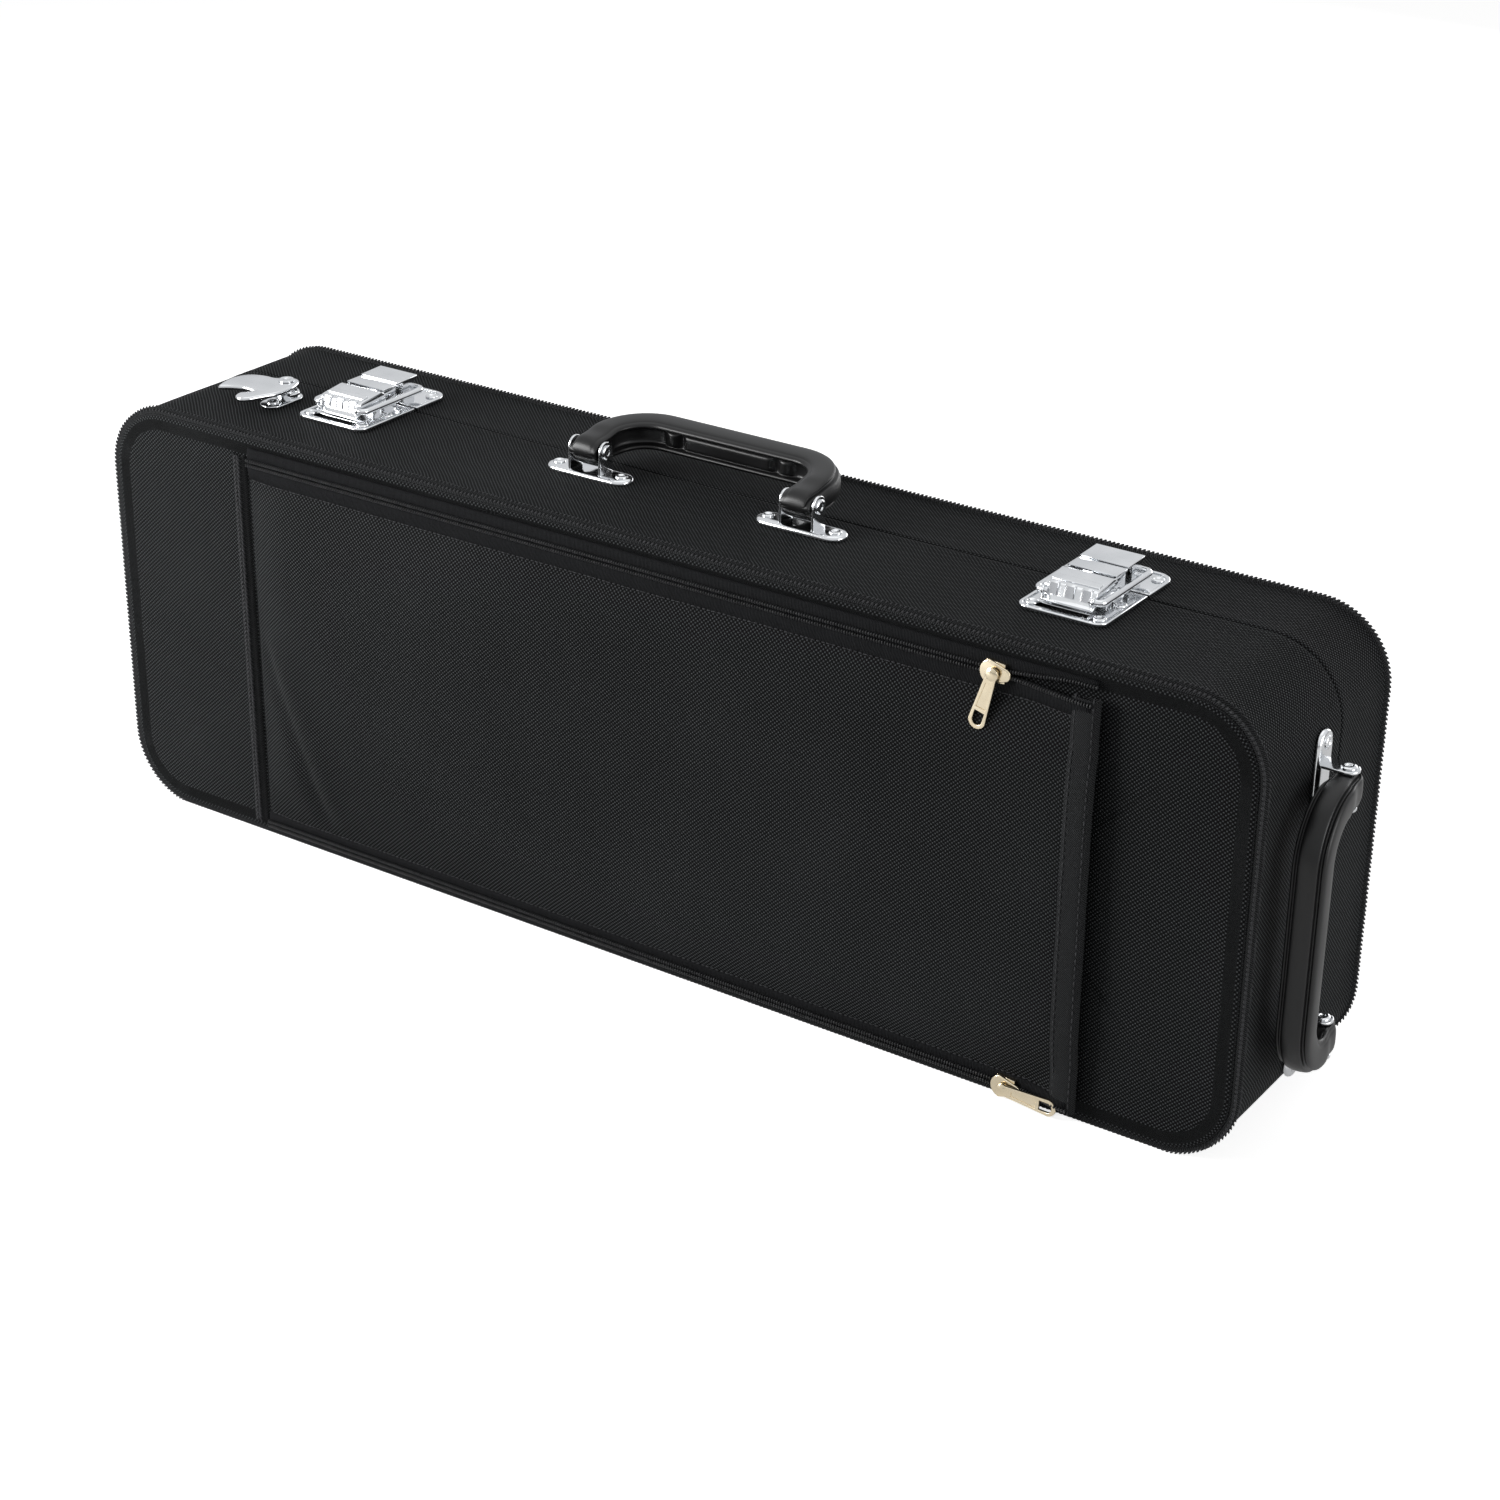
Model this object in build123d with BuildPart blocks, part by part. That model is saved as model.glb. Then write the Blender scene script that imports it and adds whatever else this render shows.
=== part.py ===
from build123d import *
import os
from math import cos, radians, sin

os.makedirs("parts", exist_ok=True)

# Case body: millimetres, X to the right along the length, Y to the back, Z up, floor at Z = 0
case_length = 700
case_depth = 136
case_height = 238
corner_radius = 38
edge_radius = 5
seam_y = 14
seam_gap = 0.6
half_length = case_length / 2
front_y = -case_depth / 2
back_y = case_depth / 2
base_rim = seam_y - seam_gap / 2
lid_rim = seam_y + seam_gap / 2

# Walls, from outside in: sewn nylon cover, moulded shell, and an insert that stands a little inside it
cover_thickness = 1.2
base_wall = 7.3
lid_wall = 7.0
base_inside = cover_thickness + base_wall
lid_inside = cover_thickness + lid_wall
insert_inset = 10.5
binding_thickness = 0.7
binding_width = 5.5
lip_depth = 10
lip_proud = 4

# Hinges in the bottom of the seam
hinge_z = 3
hinge_centres = (-220, 0, 220)
hinge_width = 40
knuckle_width = 12
leaf_thickness = 1.2
leaf_reach = 18
barrel_radius = 2.4
hinge_pin_radius = 1.25
base_screw_y = 2
lid_screw_y = 26
screw_radius = 1.25
screw_head_radius = 2.4
screw_depth = 5
running_clearance = 0.05

# Carrying handles: the same handle and brackets on the top and on the right end
handle_reach = 36.5
handle_half_span = 65.5
handle_tilt = 4
handle_corner = 24
pivot_height = 14
bracket_y = -7
end_handle_z = 115.5
bracket_length = 52
bracket_width = 15
sheet = 1.5
ear_inner = 8.9
ear_width = 11
pin_radius = 2.5
pin_head = 1.2
lug_width = 17
lug_radius = 7.5

# Draw latches, heights measured from the top of the case
latch_centres = {"left": -224, "right": 224}
latch_width = 47
latch_front = -31
latch_back = 43
lever_pivot_y = -4
lever_pivot_h = 9
lever_half_width = 14
lever_top = 13.8
bail_pivot_y = -21.5
bail_h = 8
bail_hook_y = 27.5
bail_half_width = 17.5
wire_radius = 1.75
hook_half_width = 13.2

# Rivets through plate, cover and shell
rivet_radius = 1.8
rivet_head_radius = 3.4
rivet_head_height = 1.5

# Strap sleeve on the front face
flap_left = -248
flap_right = 270
flap_bottom = 11
flap_top = 219
flap_standoff = 8
flap_thickness = 1.6
flap_slope = 40
flap_side_slope = 25
edge_binding_width = 14

# Zippers along the top and the bottom of the sleeve
tape_thickness = 0.9
teeth_height = 2.5
teeth_width = 5
teeth_z = {"top": 223, "bottom": 7}
tape_span = {"top": (flap_top, 231), "bottom": (3.5, flap_bottom)}
slider_x = {"top": 215, "bottom": 232}
puller_turn = {"top": -105, "bottom": -2}
puller_length = 33
puller_width = 9
puller_thickness = 1.6

# Swivelling strap hook near the left end
hook_x = -272
hook_y = -10
hook_low = 6.6
hook_thickness = 3


def upright(y):
    """Vertical plane that faces the front, with its origin at mid height of the case."""
    return Plane(origin=(0, y, case_height / 2), x_dir=(1, 0, 0), z_dir=(0, -1, 0))


def across(x, y=0, z=0):
    """Vertical plane across the case: its own x runs back along Y, and its own y runs up."""
    return Plane(origin=(x, y, z), x_dir=(0, 1, 0), z_dir=(1, 0, 0))


def level(x, y, z):
    """Horizontal plane with its origin at a point."""
    return Plane(origin=(x, y, z))


def outline(inset):
    """The case's oblong outline, drawn in by an amount all round."""
    return RectangleRounded(case_length - 2 * inset, case_height - 2 * inset, corner_radius - inset)


def rounded_block(rim, face, inset):
    """A solid from the seam to one face, drawn in by an amount, with the edge of that face rounded."""
    with BuildPart() as block:
        with BuildSketch(upright(rim)):
            outline(inset)
        extrude(amount=rim - face)
        fillet(block.edges().filter_by_position(Axis.Y, face - 0.01, face + 0.01), edge_radius - inset)
    return block.part


def relief(side):
    """Wedge along the bottom of the seam that lets the lid turn down, with room for the hinges."""
    with BuildPart() as wedge:
        with BuildSketch(across(-half_length)):
            with BuildLine():
                Polyline(
                    (seam_y, hinge_z),
                    (seam_y + side * 4.4, -0.6),
                    (seam_y - side, -0.6),
                    (seam_y - side, hinge_z),
                    close=True,
                )
            make_face()
        extrude(amount=case_length)
        with Locations(*[Location((x, seam_y, hinge_z), (0, 90, 0)) for x in hinge_centres]):
            Cylinder(barrel_radius + 0.4, hinge_width + 0.8)
        with Locations(*[(x, seam_y + side * (leaf_thickness / 2 + 0.3), 6) for x in hinge_centres]):
            Box(hinge_width + 0.6, leaf_thickness + 0.1, 6.2)
    return wedge.part


# Places of the rivets: their axes run down through the top, or in through the right end
ends = (-1, 1)
handle_rivets = [(side * handle_half_span + end * 20, bracket_y) for side in ends for end in ends]
end_rivets = [(bracket_y, end_handle_z + side * handle_half_span + end * 20) for side in ends for end in ends]
latch_rivets = [(x + side * 18, y) for x in latch_centres.values() for side in ends for y in (-24, -4)]
keeper_rivets = [(x + side * 18, 34) for x in latch_centres.values() for side in ends]
hook_rivet = (-270, -24)
leaf_screws = [x + side * 12 for x in hinge_centres for side in ends]


def top_places(points, depth):
    """Locations halfway down a hole of some depth in the top."""
    return [Location((x, y, case_height - depth / 2)) for x, y in points]


def end_places(points, depth):
    """Locations halfway along a hole of some depth in the right end."""
    return [Location((half_length - depth / 2, y, z), (0, 90, 0)) for y, z in points]


base_outside = rounded_block(base_rim, front_y, 0)
base_bed = rounded_block(base_rim, front_y + binding_thickness, binding_thickness)
base_core = rounded_block(base_rim, front_y + cover_thickness, cover_thickness)
base_relief = relief(-1)
lid_outside = rounded_block(lid_rim, back_y, 0)
lid_bed = rounded_block(lid_rim, back_y - binding_thickness, binding_thickness)
lid_core = rounded_block(lid_rim, back_y - cover_thickness, cover_thickness)
lid_relief = relief(1)


# Front binding tape, folded over the front edge of the base
with BuildPart() as base_binding:
    add(base_outside)
    add(base_bed, mode=Mode.SUBTRACT)
    with BuildSketch(upright(front_y + 10)):
        outline(binding_width)
    extrude(amount=20, mode=Mode.SUBTRACT)
    with BuildSketch(upright(base_rim + 1)):
        outline(-5)
    extrude(amount=base_rim + 1 - front_y - binding_width - 0.5, mode=Mode.SUBTRACT)
base_binding.part.label = "base_binding"
export_step(base_binding.part, "parts/base_binding.step")

# Back binding tape, folded over the back edge of the lid
with BuildPart() as lid_binding:
    add(lid_outside)
    add(lid_bed, mode=Mode.SUBTRACT)
    with BuildSketch(upright(back_y + 10)):
        outline(binding_width)
    extrude(amount=20, mode=Mode.SUBTRACT)
    with BuildSketch(upright(lid_rim - 1)):
        outline(-5)
    extrude(amount=-(back_y - binding_width - 0.5 - lid_rim + 1), mode=Mode.SUBTRACT)
lid_binding.part.label = "lid_binding"
export_step(lid_binding.part, "parts/lid_binding.step")

# Nylon cover of the base, glued round the shell, pierced for the rivets
with BuildPart() as base_cover:
    add(base_outside)
    fillet(base_cover.edges().filter_by_position(Axis.Y, base_rim - 0.01, base_rim + 0.01), 0.8)
    add(base_core, mode=Mode.SUBTRACT)
    add(base_binding.part, mode=Mode.SUBTRACT)
    add(base_relief, mode=Mode.SUBTRACT)
    with Locations(*top_places(handle_rivets + latch_rivets + [hook_rivet], 2 * base_inside)):
        Cylinder(rivet_radius + running_clearance, 2 * base_inside, mode=Mode.SUBTRACT)
    with Locations(*end_places(end_rivets, 2 * base_inside)):
        Cylinder(rivet_radius + running_clearance, 2 * base_inside, mode=Mode.SUBTRACT)
base_cover.part.label = "base_cover"
export_step(base_cover.part, "parts/base_cover.step")

# Shell of the base: a deep tray, open at the seam
with BuildPart() as base_shell:
    add(base_core)
    with BuildSketch(upright(base_rim + 1)):
        outline(base_inside)
    extrude(amount=base_rim + 1 - front_y - base_inside, mode=Mode.SUBTRACT)
    add(base_relief, mode=Mode.SUBTRACT)
    with Locations(*top_places(handle_rivets + latch_rivets + [hook_rivet], 2 * base_inside)):
        Cylinder(rivet_radius + running_clearance, 2 * base_inside, mode=Mode.SUBTRACT)
    with Locations(*end_places(end_rivets, 2 * base_inside)):
        Cylinder(rivet_radius + running_clearance, 2 * base_inside, mode=Mode.SUBTRACT)
    with Locations(*[(x, base_screw_y, base_inside) for x in leaf_screws]):
        Cylinder(screw_radius + running_clearance, 2 * screw_depth, mode=Mode.SUBTRACT)
base_shell.part.label = "base_shell"
export_step(base_shell.part, "parts/base_shell.step")

# Nylon cover of the lid
with BuildPart() as lid_cover:
    add(lid_outside)
    fillet(lid_cover.edges().filter_by_position(Axis.Y, lid_rim - 0.01, lid_rim + 0.01), 0.8)
    add(lid_core, mode=Mode.SUBTRACT)
    add(lid_binding.part, mode=Mode.SUBTRACT)
    add(lid_relief, mode=Mode.SUBTRACT)
    with Locations(*top_places(keeper_rivets, 2 * lid_inside)):
        Cylinder(rivet_radius + running_clearance, 2 * lid_inside, mode=Mode.SUBTRACT)
lid_cover.part.label = "lid_cover"
export_step(lid_cover.part, "parts/lid_cover.step")

# Shell of the lid: a shallower tray
with BuildPart() as lid_shell:
    add(lid_core)
    with BuildSketch(upright(lid_rim - 1)):
        outline(lid_inside)
    extrude(amount=-(back_y - lid_inside - lid_rim + 1), mode=Mode.SUBTRACT)
    add(lid_relief, mode=Mode.SUBTRACT)
    with Locations(*top_places(keeper_rivets, 2 * lid_inside)):
        Cylinder(rivet_radius + running_clearance, 2 * lid_inside, mode=Mode.SUBTRACT)
    with Locations(*[(x, lid_screw_y, lid_inside) for x in leaf_screws]):
        Cylinder(screw_radius + running_clearance, 2 * screw_depth, mode=Mode.SUBTRACT)
lid_shell.part.label = "lid_shell"
export_step(lid_shell.part, "parts/lid_shell.step")

# Lip glued inside the rim of the base, which finds its way into the lid and keeps dust out
with BuildPart() as base_lip:
    with BuildSketch(upright(seam_y + lip_proud)):
        outline(base_inside)
        with Locations((0, 0)):
            RectangleRounded(
                case_length - 2 * insert_inset,
                case_height - 2 * insert_inset,
                corner_radius - insert_inset,
                mode=Mode.SUBTRACT,
            )
    extrude(amount=lip_depth + lip_proud)
    with Locations(*[(x, seam_y, base_inside + 1) for x in hinge_centres]):
        Box(hinge_width + 2, 40, 4, mode=Mode.SUBTRACT)
base_lip.part.label = "base_lip"
export_step(base_lip.part, "parts/base_lip.step")

# Insert of the base: a padded block with a trough for the straight instrument and three pockets above it
trough_z = -51
trough_outline = (
    (-325, trough_z + 46),
    (-262, trough_z + 46),
    (-215, trough_z + 36),
    (325, trough_z + 27),
    (325, trough_z - 27),
    (-215, trough_z - 36),
    (-262, trough_z - 46),
    (-325, trough_z - 46),
)
pocket_centres = (-219, 0, 219)
pocket_length = 198
pocket_height = 84
pocket_z = 56
trough_depth = 64
pocket_depth = 56
insert_top = 12
with BuildPart() as base_insert:
    with BuildSketch(upright(insert_top)):
        outline(insert_inset)
    extrude(amount=insert_top - front_y - base_inside)
    with BuildSketch(upright(insert_top)) as trough:
        with BuildLine():
            Polyline(*trough_outline, close=True)
        make_face()
        fillet(trough.vertices(), 10)
    extrude(amount=trough_depth, mode=Mode.SUBTRACT)
    with BuildSketch(upright(insert_top)):
        with Locations(*[(x, pocket_z) for x in pocket_centres]):
            RectangleRounded(pocket_length, pocket_height, 12)
    extrude(amount=pocket_depth, mode=Mode.SUBTRACT)
base_insert.part.label = "base_insert"
export_step(base_insert.part, "parts/base_insert.step")

# Insert of the lid: a pad with the other half of the trough, and a shallow bed over the pockets
pad_face = 26
with BuildPart() as lid_insert:
    with BuildSketch(upright(pad_face)):
        outline(insert_inset)
    extrude(amount=-(back_y - lid_inside - pad_face))
    with BuildSketch(upright(pad_face)) as bed:
        with BuildLine():
            Polyline(*trough_outline, close=True)
        make_face()
        fillet(bed.vertices(), 10)
    extrude(amount=-22, mode=Mode.SUBTRACT)
lid_insert.part.label = "lid_insert"
export_step(lid_insert.part, "parts/lid_insert.step")


def screw_seat():
    """Countersunk hole through a hinge leaf, at each current location."""
    Cylinder(screw_radius + running_clearance, 2 * screw_depth, mode=Mode.SUBTRACT)
    Cone(
        screw_radius + running_clearance,
        screw_head_radius + running_clearance,
        leaf_thickness,
        align=(Align.CENTER, Align.CENTER, Align.MIN),
        mode=Mode.SUBTRACT,
    )


# Hinge leaves: knuckles round the pin, a leg up the rim and a foot screwed flat inside the wall
base_leg = base_rim - leaf_thickness / 2
lid_leg = lid_rim + leaf_thickness / 2
half_hinge = hinge_width / 2
lid_knuckle = hinge_width - 2 * knuckle_width - 0.6
with BuildPart() as base_hinge_leaves:
    with Locations(*[(x, base_leg, (hinge_z + base_inside + leaf_thickness) / 2) for x in hinge_centres]):
        Box(hinge_width, leaf_thickness, base_inside + leaf_thickness - hinge_z)
    with Locations(*[(x, base_rim - leaf_reach / 2, base_inside + leaf_thickness / 2) for x in hinge_centres]):
        Box(hinge_width, leaf_reach, leaf_thickness)
    for side in ends:
        knuckle_x = side * (half_hinge - knuckle_width / 2)
        with Locations(*[Location((x + knuckle_x, seam_y, hinge_z), (0, 90, 0)) for x in hinge_centres]):
            Cylinder(barrel_radius, knuckle_width)
    with Locations(*[Location((x, seam_y, hinge_z), (0, 90, 0)) for x in hinge_centres]):
        Cylinder(barrel_radius + 0.3, lid_knuckle + 0.6, mode=Mode.SUBTRACT)
        Cylinder(hinge_pin_radius, hinge_width + 1, mode=Mode.SUBTRACT)
    with Locations(*[(x, base_screw_y, base_inside) for x in leaf_screws]):
        screw_seat()
base_hinge_leaves.part.label = "base_hinge_leaves"
export_step(base_hinge_leaves.part, "parts/base_hinge_leaves.step")

with BuildPart() as lid_hinge_leaves:
    with Locations(*[(x, lid_leg, (hinge_z + lid_inside + leaf_thickness) / 2) for x in hinge_centres]):
        Box(hinge_width, leaf_thickness, lid_inside + leaf_thickness - hinge_z)
    with Locations(*[(x, lid_rim + leaf_reach / 2, lid_inside + leaf_thickness / 2) for x in hinge_centres]):
        Box(hinge_width, leaf_reach, leaf_thickness)
    for side in ends:
        knuckle_x = side * (half_hinge - knuckle_width / 2)
        with Locations(*[Location((x + knuckle_x, seam_y, hinge_z), (0, 90, 0)) for x in hinge_centres]):
            Cylinder(barrel_radius + 0.3, knuckle_width + 0.6, mode=Mode.SUBTRACT)
    with Locations(*[Location((x, seam_y, hinge_z), (0, 90, 0)) for x in hinge_centres]):
        Cylinder(barrel_radius, lid_knuckle)
        Cylinder(hinge_pin_radius + running_clearance, hinge_width + 1, mode=Mode.SUBTRACT)
    with Locations(*[(x, lid_screw_y, lid_inside) for x in leaf_screws]):
        screw_seat()
lid_hinge_leaves.part.label = "lid_hinge_leaves"
export_step(lid_hinge_leaves.part, "parts/lid_hinge_leaves.step")

with BuildPart() as hinge_pins:
    with Locations(*[Location((x, seam_y, hinge_z), (0, 90, 0)) for x in hinge_centres]):
        Cylinder(hinge_pin_radius, hinge_width)
hinge_pins.part.label = "hinge_pins"
export_step(hinge_pins.part, "parts/hinge_pins.step")

# Countersunk screws that hold the leaves to the shells
leaf_screw_rows = {"base": (base_screw_y, base_inside), "lid": (lid_screw_y, lid_inside)}
for half, (y, z) in leaf_screw_rows.items():
    with BuildPart() as screws:
        with Locations(*[(x, y, z) for x in leaf_screws]):
            Cylinder(screw_radius, screw_depth - 0.3, align=(Align.CENTER, Align.CENTER, Align.MAX))
            Cone(
                screw_radius,
                screw_head_radius,
                leaf_thickness - 0.05,
                align=(Align.CENTER, Align.CENTER, Align.MIN),
            )
    screws.part.label = f"{half}_hinge_screws"
    export_step(screws.part, f"parts/{half}_hinge_screws.step")

# Carrying handles and their brackets, each built on a plane whose x runs along the handle's pins,
# y from the pins toward the grip as the handle lies at rest, and z away from the case
tilt = radians(handle_tilt)
top_origin = (0, bracket_y, case_height + pivot_height)
end_origin = (half_length + pivot_height, bracket_y, end_handle_z)
handle_planes = {
    "top": Plane(origin=top_origin, x_dir=(1, 0, 0), z_dir=(0, -sin(tilt), cos(tilt))),
    "end": Plane(origin=end_origin, x_dir=(0, 0, 1), z_dir=(cos(tilt), sin(tilt), 0)),
}
bracket_planes = {
    "top": Plane(origin=(0, bracket_y, case_height), x_dir=(1, 0, 0), z_dir=(0, 0, 1)),
    "end": Plane(origin=(half_length, bracket_y, end_handle_z), x_dir=(0, 0, 1), z_dir=(1, 0, 0)),
}
grip_width = 17
grip_depth = 17
for place, plane in handle_planes.items():
    # Moulded grip: two legs, rounded corners and a long bar, with a round lug on each pin
    with BuildPart() as handle:
        with BuildLine(plane) as route:
            FilletPolyline(
                (-handle_half_span, 0),
                (-handle_half_span, handle_reach),
                (handle_half_span, handle_reach),
                (handle_half_span, 0),
                radius=handle_corner,
            )
        with BuildSketch(Plane(origin=route.line @ 0, x_dir=plane.x_dir, z_dir=route.line % 0)):
            RectangleRounded(lug_width, grip_depth - 3, 5)
        with BuildSketch(Plane(origin=route.line @ 0.5, x_dir=plane.y_dir, z_dir=route.line % 0.5)):
            RectangleRounded(grip_width, grip_depth, 7)
        with BuildSketch(Plane(origin=route.line @ 1, x_dir=-plane.x_dir, z_dir=route.line % 1)):
            RectangleRounded(lug_width, grip_depth - 3, 5)
        sweep(path=route.line, multisection=True)
        lugs = [plane * Location((side * handle_half_span, 0, 0), (0, 90, 0)) for side in ends]
        with Locations(*lugs):
            Cylinder(lug_radius, lug_width)
            Cylinder(pin_radius + running_clearance, lug_width + 10, mode=Mode.SUBTRACT)
    handle.part.label = f"{place}_handle"
    export_step(handle.part, f"parts/{place}_handle.step")

for place, plane in bracket_planes.items():
    # Two pressed brackets: an oval foot with a pair of ears that hold the pin
    feet = [(side * handle_half_span, 0) for side in ends]
    ears = [(x + side * (ear_inner + sheet / 2)) for x, _ in feet for side in ends]
    pivots = [plane * Location((x, 0, pivot_height), (0, 90, 0)) for x, _ in feet]
    with BuildPart() as brackets:
        with BuildSketch(plane):
            with Locations(*feet):
                SlotOverall(bracket_length, bracket_width)
        extrude(amount=sheet)
        for x in ears:
            ear_foot = plane.from_local_coords((x - sheet / 2, 0, 0))
            ear_plane = Plane(origin=ear_foot, x_dir=plane.y_dir, z_dir=plane.x_dir)
            with BuildSketch(ear_plane):
                with Locations((0, pivot_height / 2)):
                    Rectangle(ear_width, pivot_height)
                with Locations((0, pivot_height)):
                    Circle(ear_width / 2)
            extrude(amount=sheet)
        with Locations(*pivots):
            Cylinder(pin_radius, 2 * (ear_inner + sheet) + 1, mode=Mode.SUBTRACT)
        with Locations(*[plane * Location((x + end * 20, 0, 0)) for x, _ in feet for end in ends]):
            Cylinder(rivet_radius + running_clearance, 10, mode=Mode.SUBTRACT)
    brackets.part.label = f"{place}_handle_brackets"
    export_step(brackets.part, f"parts/{place}_handle_brackets.step")

    # Hollow pins, spread over at both ends outside the ears
    with BuildPart() as pins:
        with Locations(*pivots):
            Cylinder(pin_radius, 2 * (ear_inner + sheet))
        for side in ends:
            head_offset = side * (ear_inner + sheet + pin_head / 2)
            with Locations(*[pivot * Location((0, 0, head_offset)) for pivot in pivots]):
                Cylinder(pin_radius + 1.3, pin_head)
        with Locations(*pivots):
            Cylinder(pin_radius - 1, 40, mode=Mode.SUBTRACT)
    pins.part.label = f"{place}_handle_pins"
    export_step(pins.part, f"parts/{place}_handle_pins.step")

    # Domed rivets through the feet of the brackets, the cover and the shell
    with BuildPart() as rivets:
        foot_rivets = [plane * Location((x + end * 20, 0, 0)) for x, _ in feet for end in ends]
        with Locations(*foot_rivets):
            Cylinder(rivet_radius, base_inside, align=(Align.CENTER, Align.CENTER, Align.MAX))
            Cylinder(rivet_radius, sheet, align=(Align.CENTER, Align.CENTER, Align.MIN))
        with Locations(*[spot * Location((0, 0, sheet)) for spot in foot_rivets]):
            Cone(rivet_head_radius, 1.6, rivet_head_height, align=(Align.CENTER, Align.CENTER, Align.MIN))
    rivets.part.label = f"{place}_handle_rivets"
    export_step(rivets.part, f"parts/{place}_handle_rivets.step")

# Draw latches. Profiles are drawn across the case, heights measured from its top
latch_plate = 1.4
seam_side = 13
keeper_side = 15
lever_round = lever_top - lever_pivot_h
lever_sheet = 1.3
lever_bend_y = -19
lever_bend_h = 12
lip_y = -33
lip_h = 7
lid_hook_top = 15
hook_rear_wall = 25.4
lever_pin_radius = 1.5
for side, latch_x in latch_centres.items():
    pivot = Location((latch_x, lever_pivot_y, case_height + lever_pivot_h), (0, 90, 0))
    bail_pivot = Location((latch_x, bail_pivot_y, case_height + bail_h), (0, 90, 0))

    # Base of the latch: riveted plate, two lugs for the lever pin, and the fixed cover behind the lever
    with BuildPart() as latch_base:
        with BuildSketch(level(latch_x, 0, case_height)) as plate:
            with Locations((0, (latch_front + seam_side) / 2)):
                Rectangle(latch_width, seam_side - latch_front)
            fillet(plate.vertices().group_by(Axis.Y)[0], 6)
        extrude(amount=latch_plate)
        for end in ends:
            with BuildSketch(across(latch_x + end * 11.5 - 0.7, 0, case_height)):
                with Locations((lever_pivot_y, lever_pivot_h / 2)):
                    Rectangle(5.6, lever_pivot_h)
                with Locations((lever_pivot_y, lever_pivot_h)):
                    Circle(2.8)
                with Locations((6.1, 7)):
                    Rectangle(9.8, 12)
            extrude(amount=1.4)
        with BuildSketch(across(latch_x - hook_half_width, 0, case_height)):
            with Locations((5.6, 13.4)):
                Rectangle(10.8, 1.2)
        extrude(amount=2 * hook_half_width)
        with Locations(pivot):
            Cylinder(lever_pin_radius, latch_width, mode=Mode.SUBTRACT)
        with Locations(*[(x, y, case_height) for x, y in latch_rivets if abs(x - latch_x) < latch_width]):
            Cylinder(rivet_radius + running_clearance, 10, mode=Mode.SUBTRACT)
    latch_base.part.label = f"{side}_latch_base"
    export_step(latch_base.part, f"parts/{side}_latch_base.step")

    # Lever: folded sheet with side walls, a sloping front with three finger ridges, and a round heel
    with BuildPart() as latch_lever:
        heel = radians(55)
        heel_end = (lever_pivot_y + lever_round * cos(heel), lever_pivot_h + lever_round * sin(heel))
        with BuildSketch(across(latch_x - lever_half_width, 0, case_height)):
            with BuildLine():
                Polyline(
                    (lever_pivot_y, lever_top),
                    (lever_bend_y, lever_bend_h),
                    (lip_y, lip_h),
                    (lip_y + 0.5, lip_h - lever_sheet),
                    (lever_bend_y + 0.4, lever_bend_h - lever_sheet),
                    (lever_pivot_y, lever_top - lever_sheet),
                )
                CenterArc((lever_pivot_y, lever_pivot_h), lever_round, 90, -35)
                CenterArc((lever_pivot_y, lever_pivot_h), lever_round - lever_sheet, 90, -35)
                Line(
                    heel_end,
                    (
                        lever_pivot_y + (lever_round - lever_sheet) * cos(heel),
                        lever_pivot_h + (lever_round - lever_sheet) * sin(heel),
                    ),
                )
            make_face()
        extrude(amount=2 * lever_half_width)
        for end in ends:
            inner = end * (lever_half_width - lever_sheet / 2) - lever_sheet / 2
            with BuildSketch(across(latch_x + inner, 0, case_height)):
                with BuildLine():
                    Polyline(
                        (lever_pivot_y, lever_top),
                        (lever_bend_y, lever_bend_h),
                        (lip_y + 3, lip_h + 1),
                        (lip_y + 4, 5.4),
                        (lever_pivot_y, lever_pivot_h - lever_round),
                    )
                    CenterArc((lever_pivot_y, lever_pivot_h), lever_round, 90, -180)
                make_face()
            extrude(amount=lever_sheet)
        ridge = Plane(
            origin=(latch_x, (lever_bend_y + lip_y) / 2, case_height + (lever_bend_h + lip_h) / 2),
            x_dir=(1, 0, 0),
            z_dir=(0, lip_h - lever_bend_h, lever_bend_y - lip_y),
        )
        with BuildSketch(ridge):
            with Locations((-8.6, 1.5), (0, 1.5), (8.6, 1.5)):
                RectangleRounded(5.6, 8, 1.2)
        extrude(amount=0.8)
        with Locations(pivot):
            Cylinder(lever_pin_radius + running_clearance, latch_width, mode=Mode.SUBTRACT)
        with Locations(bail_pivot):
            Cylinder(wire_radius + running_clearance, latch_width, mode=Mode.SUBTRACT)
    latch_lever.part.label = f"{side}_latch_lever"
    export_step(latch_lever.part, f"parts/{side}_latch_lever.step")

    # Bail: a bent wire that pivots in the lever and hooks behind the keeper
    with BuildPart() as latch_bail:
        with BuildLine(level(latch_x, 0, case_height + bail_h)) as wire:
            FilletPolyline(
                (-11, bail_pivot_y),
                (-bail_half_width, bail_pivot_y),
                (-bail_half_width, bail_hook_y),
                (bail_half_width, bail_hook_y),
                (bail_half_width, bail_pivot_y),
                (11, bail_pivot_y),
                radius=3,
            )
        with BuildSketch(Plane(origin=wire.line @ 0, z_dir=wire.line % 0)):
            Circle(wire_radius)
        sweep(path=wire.line)
    latch_bail.part.label = f"{side}_latch_bail"
    export_step(latch_bail.part, f"parts/{side}_latch_bail.step")

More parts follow.
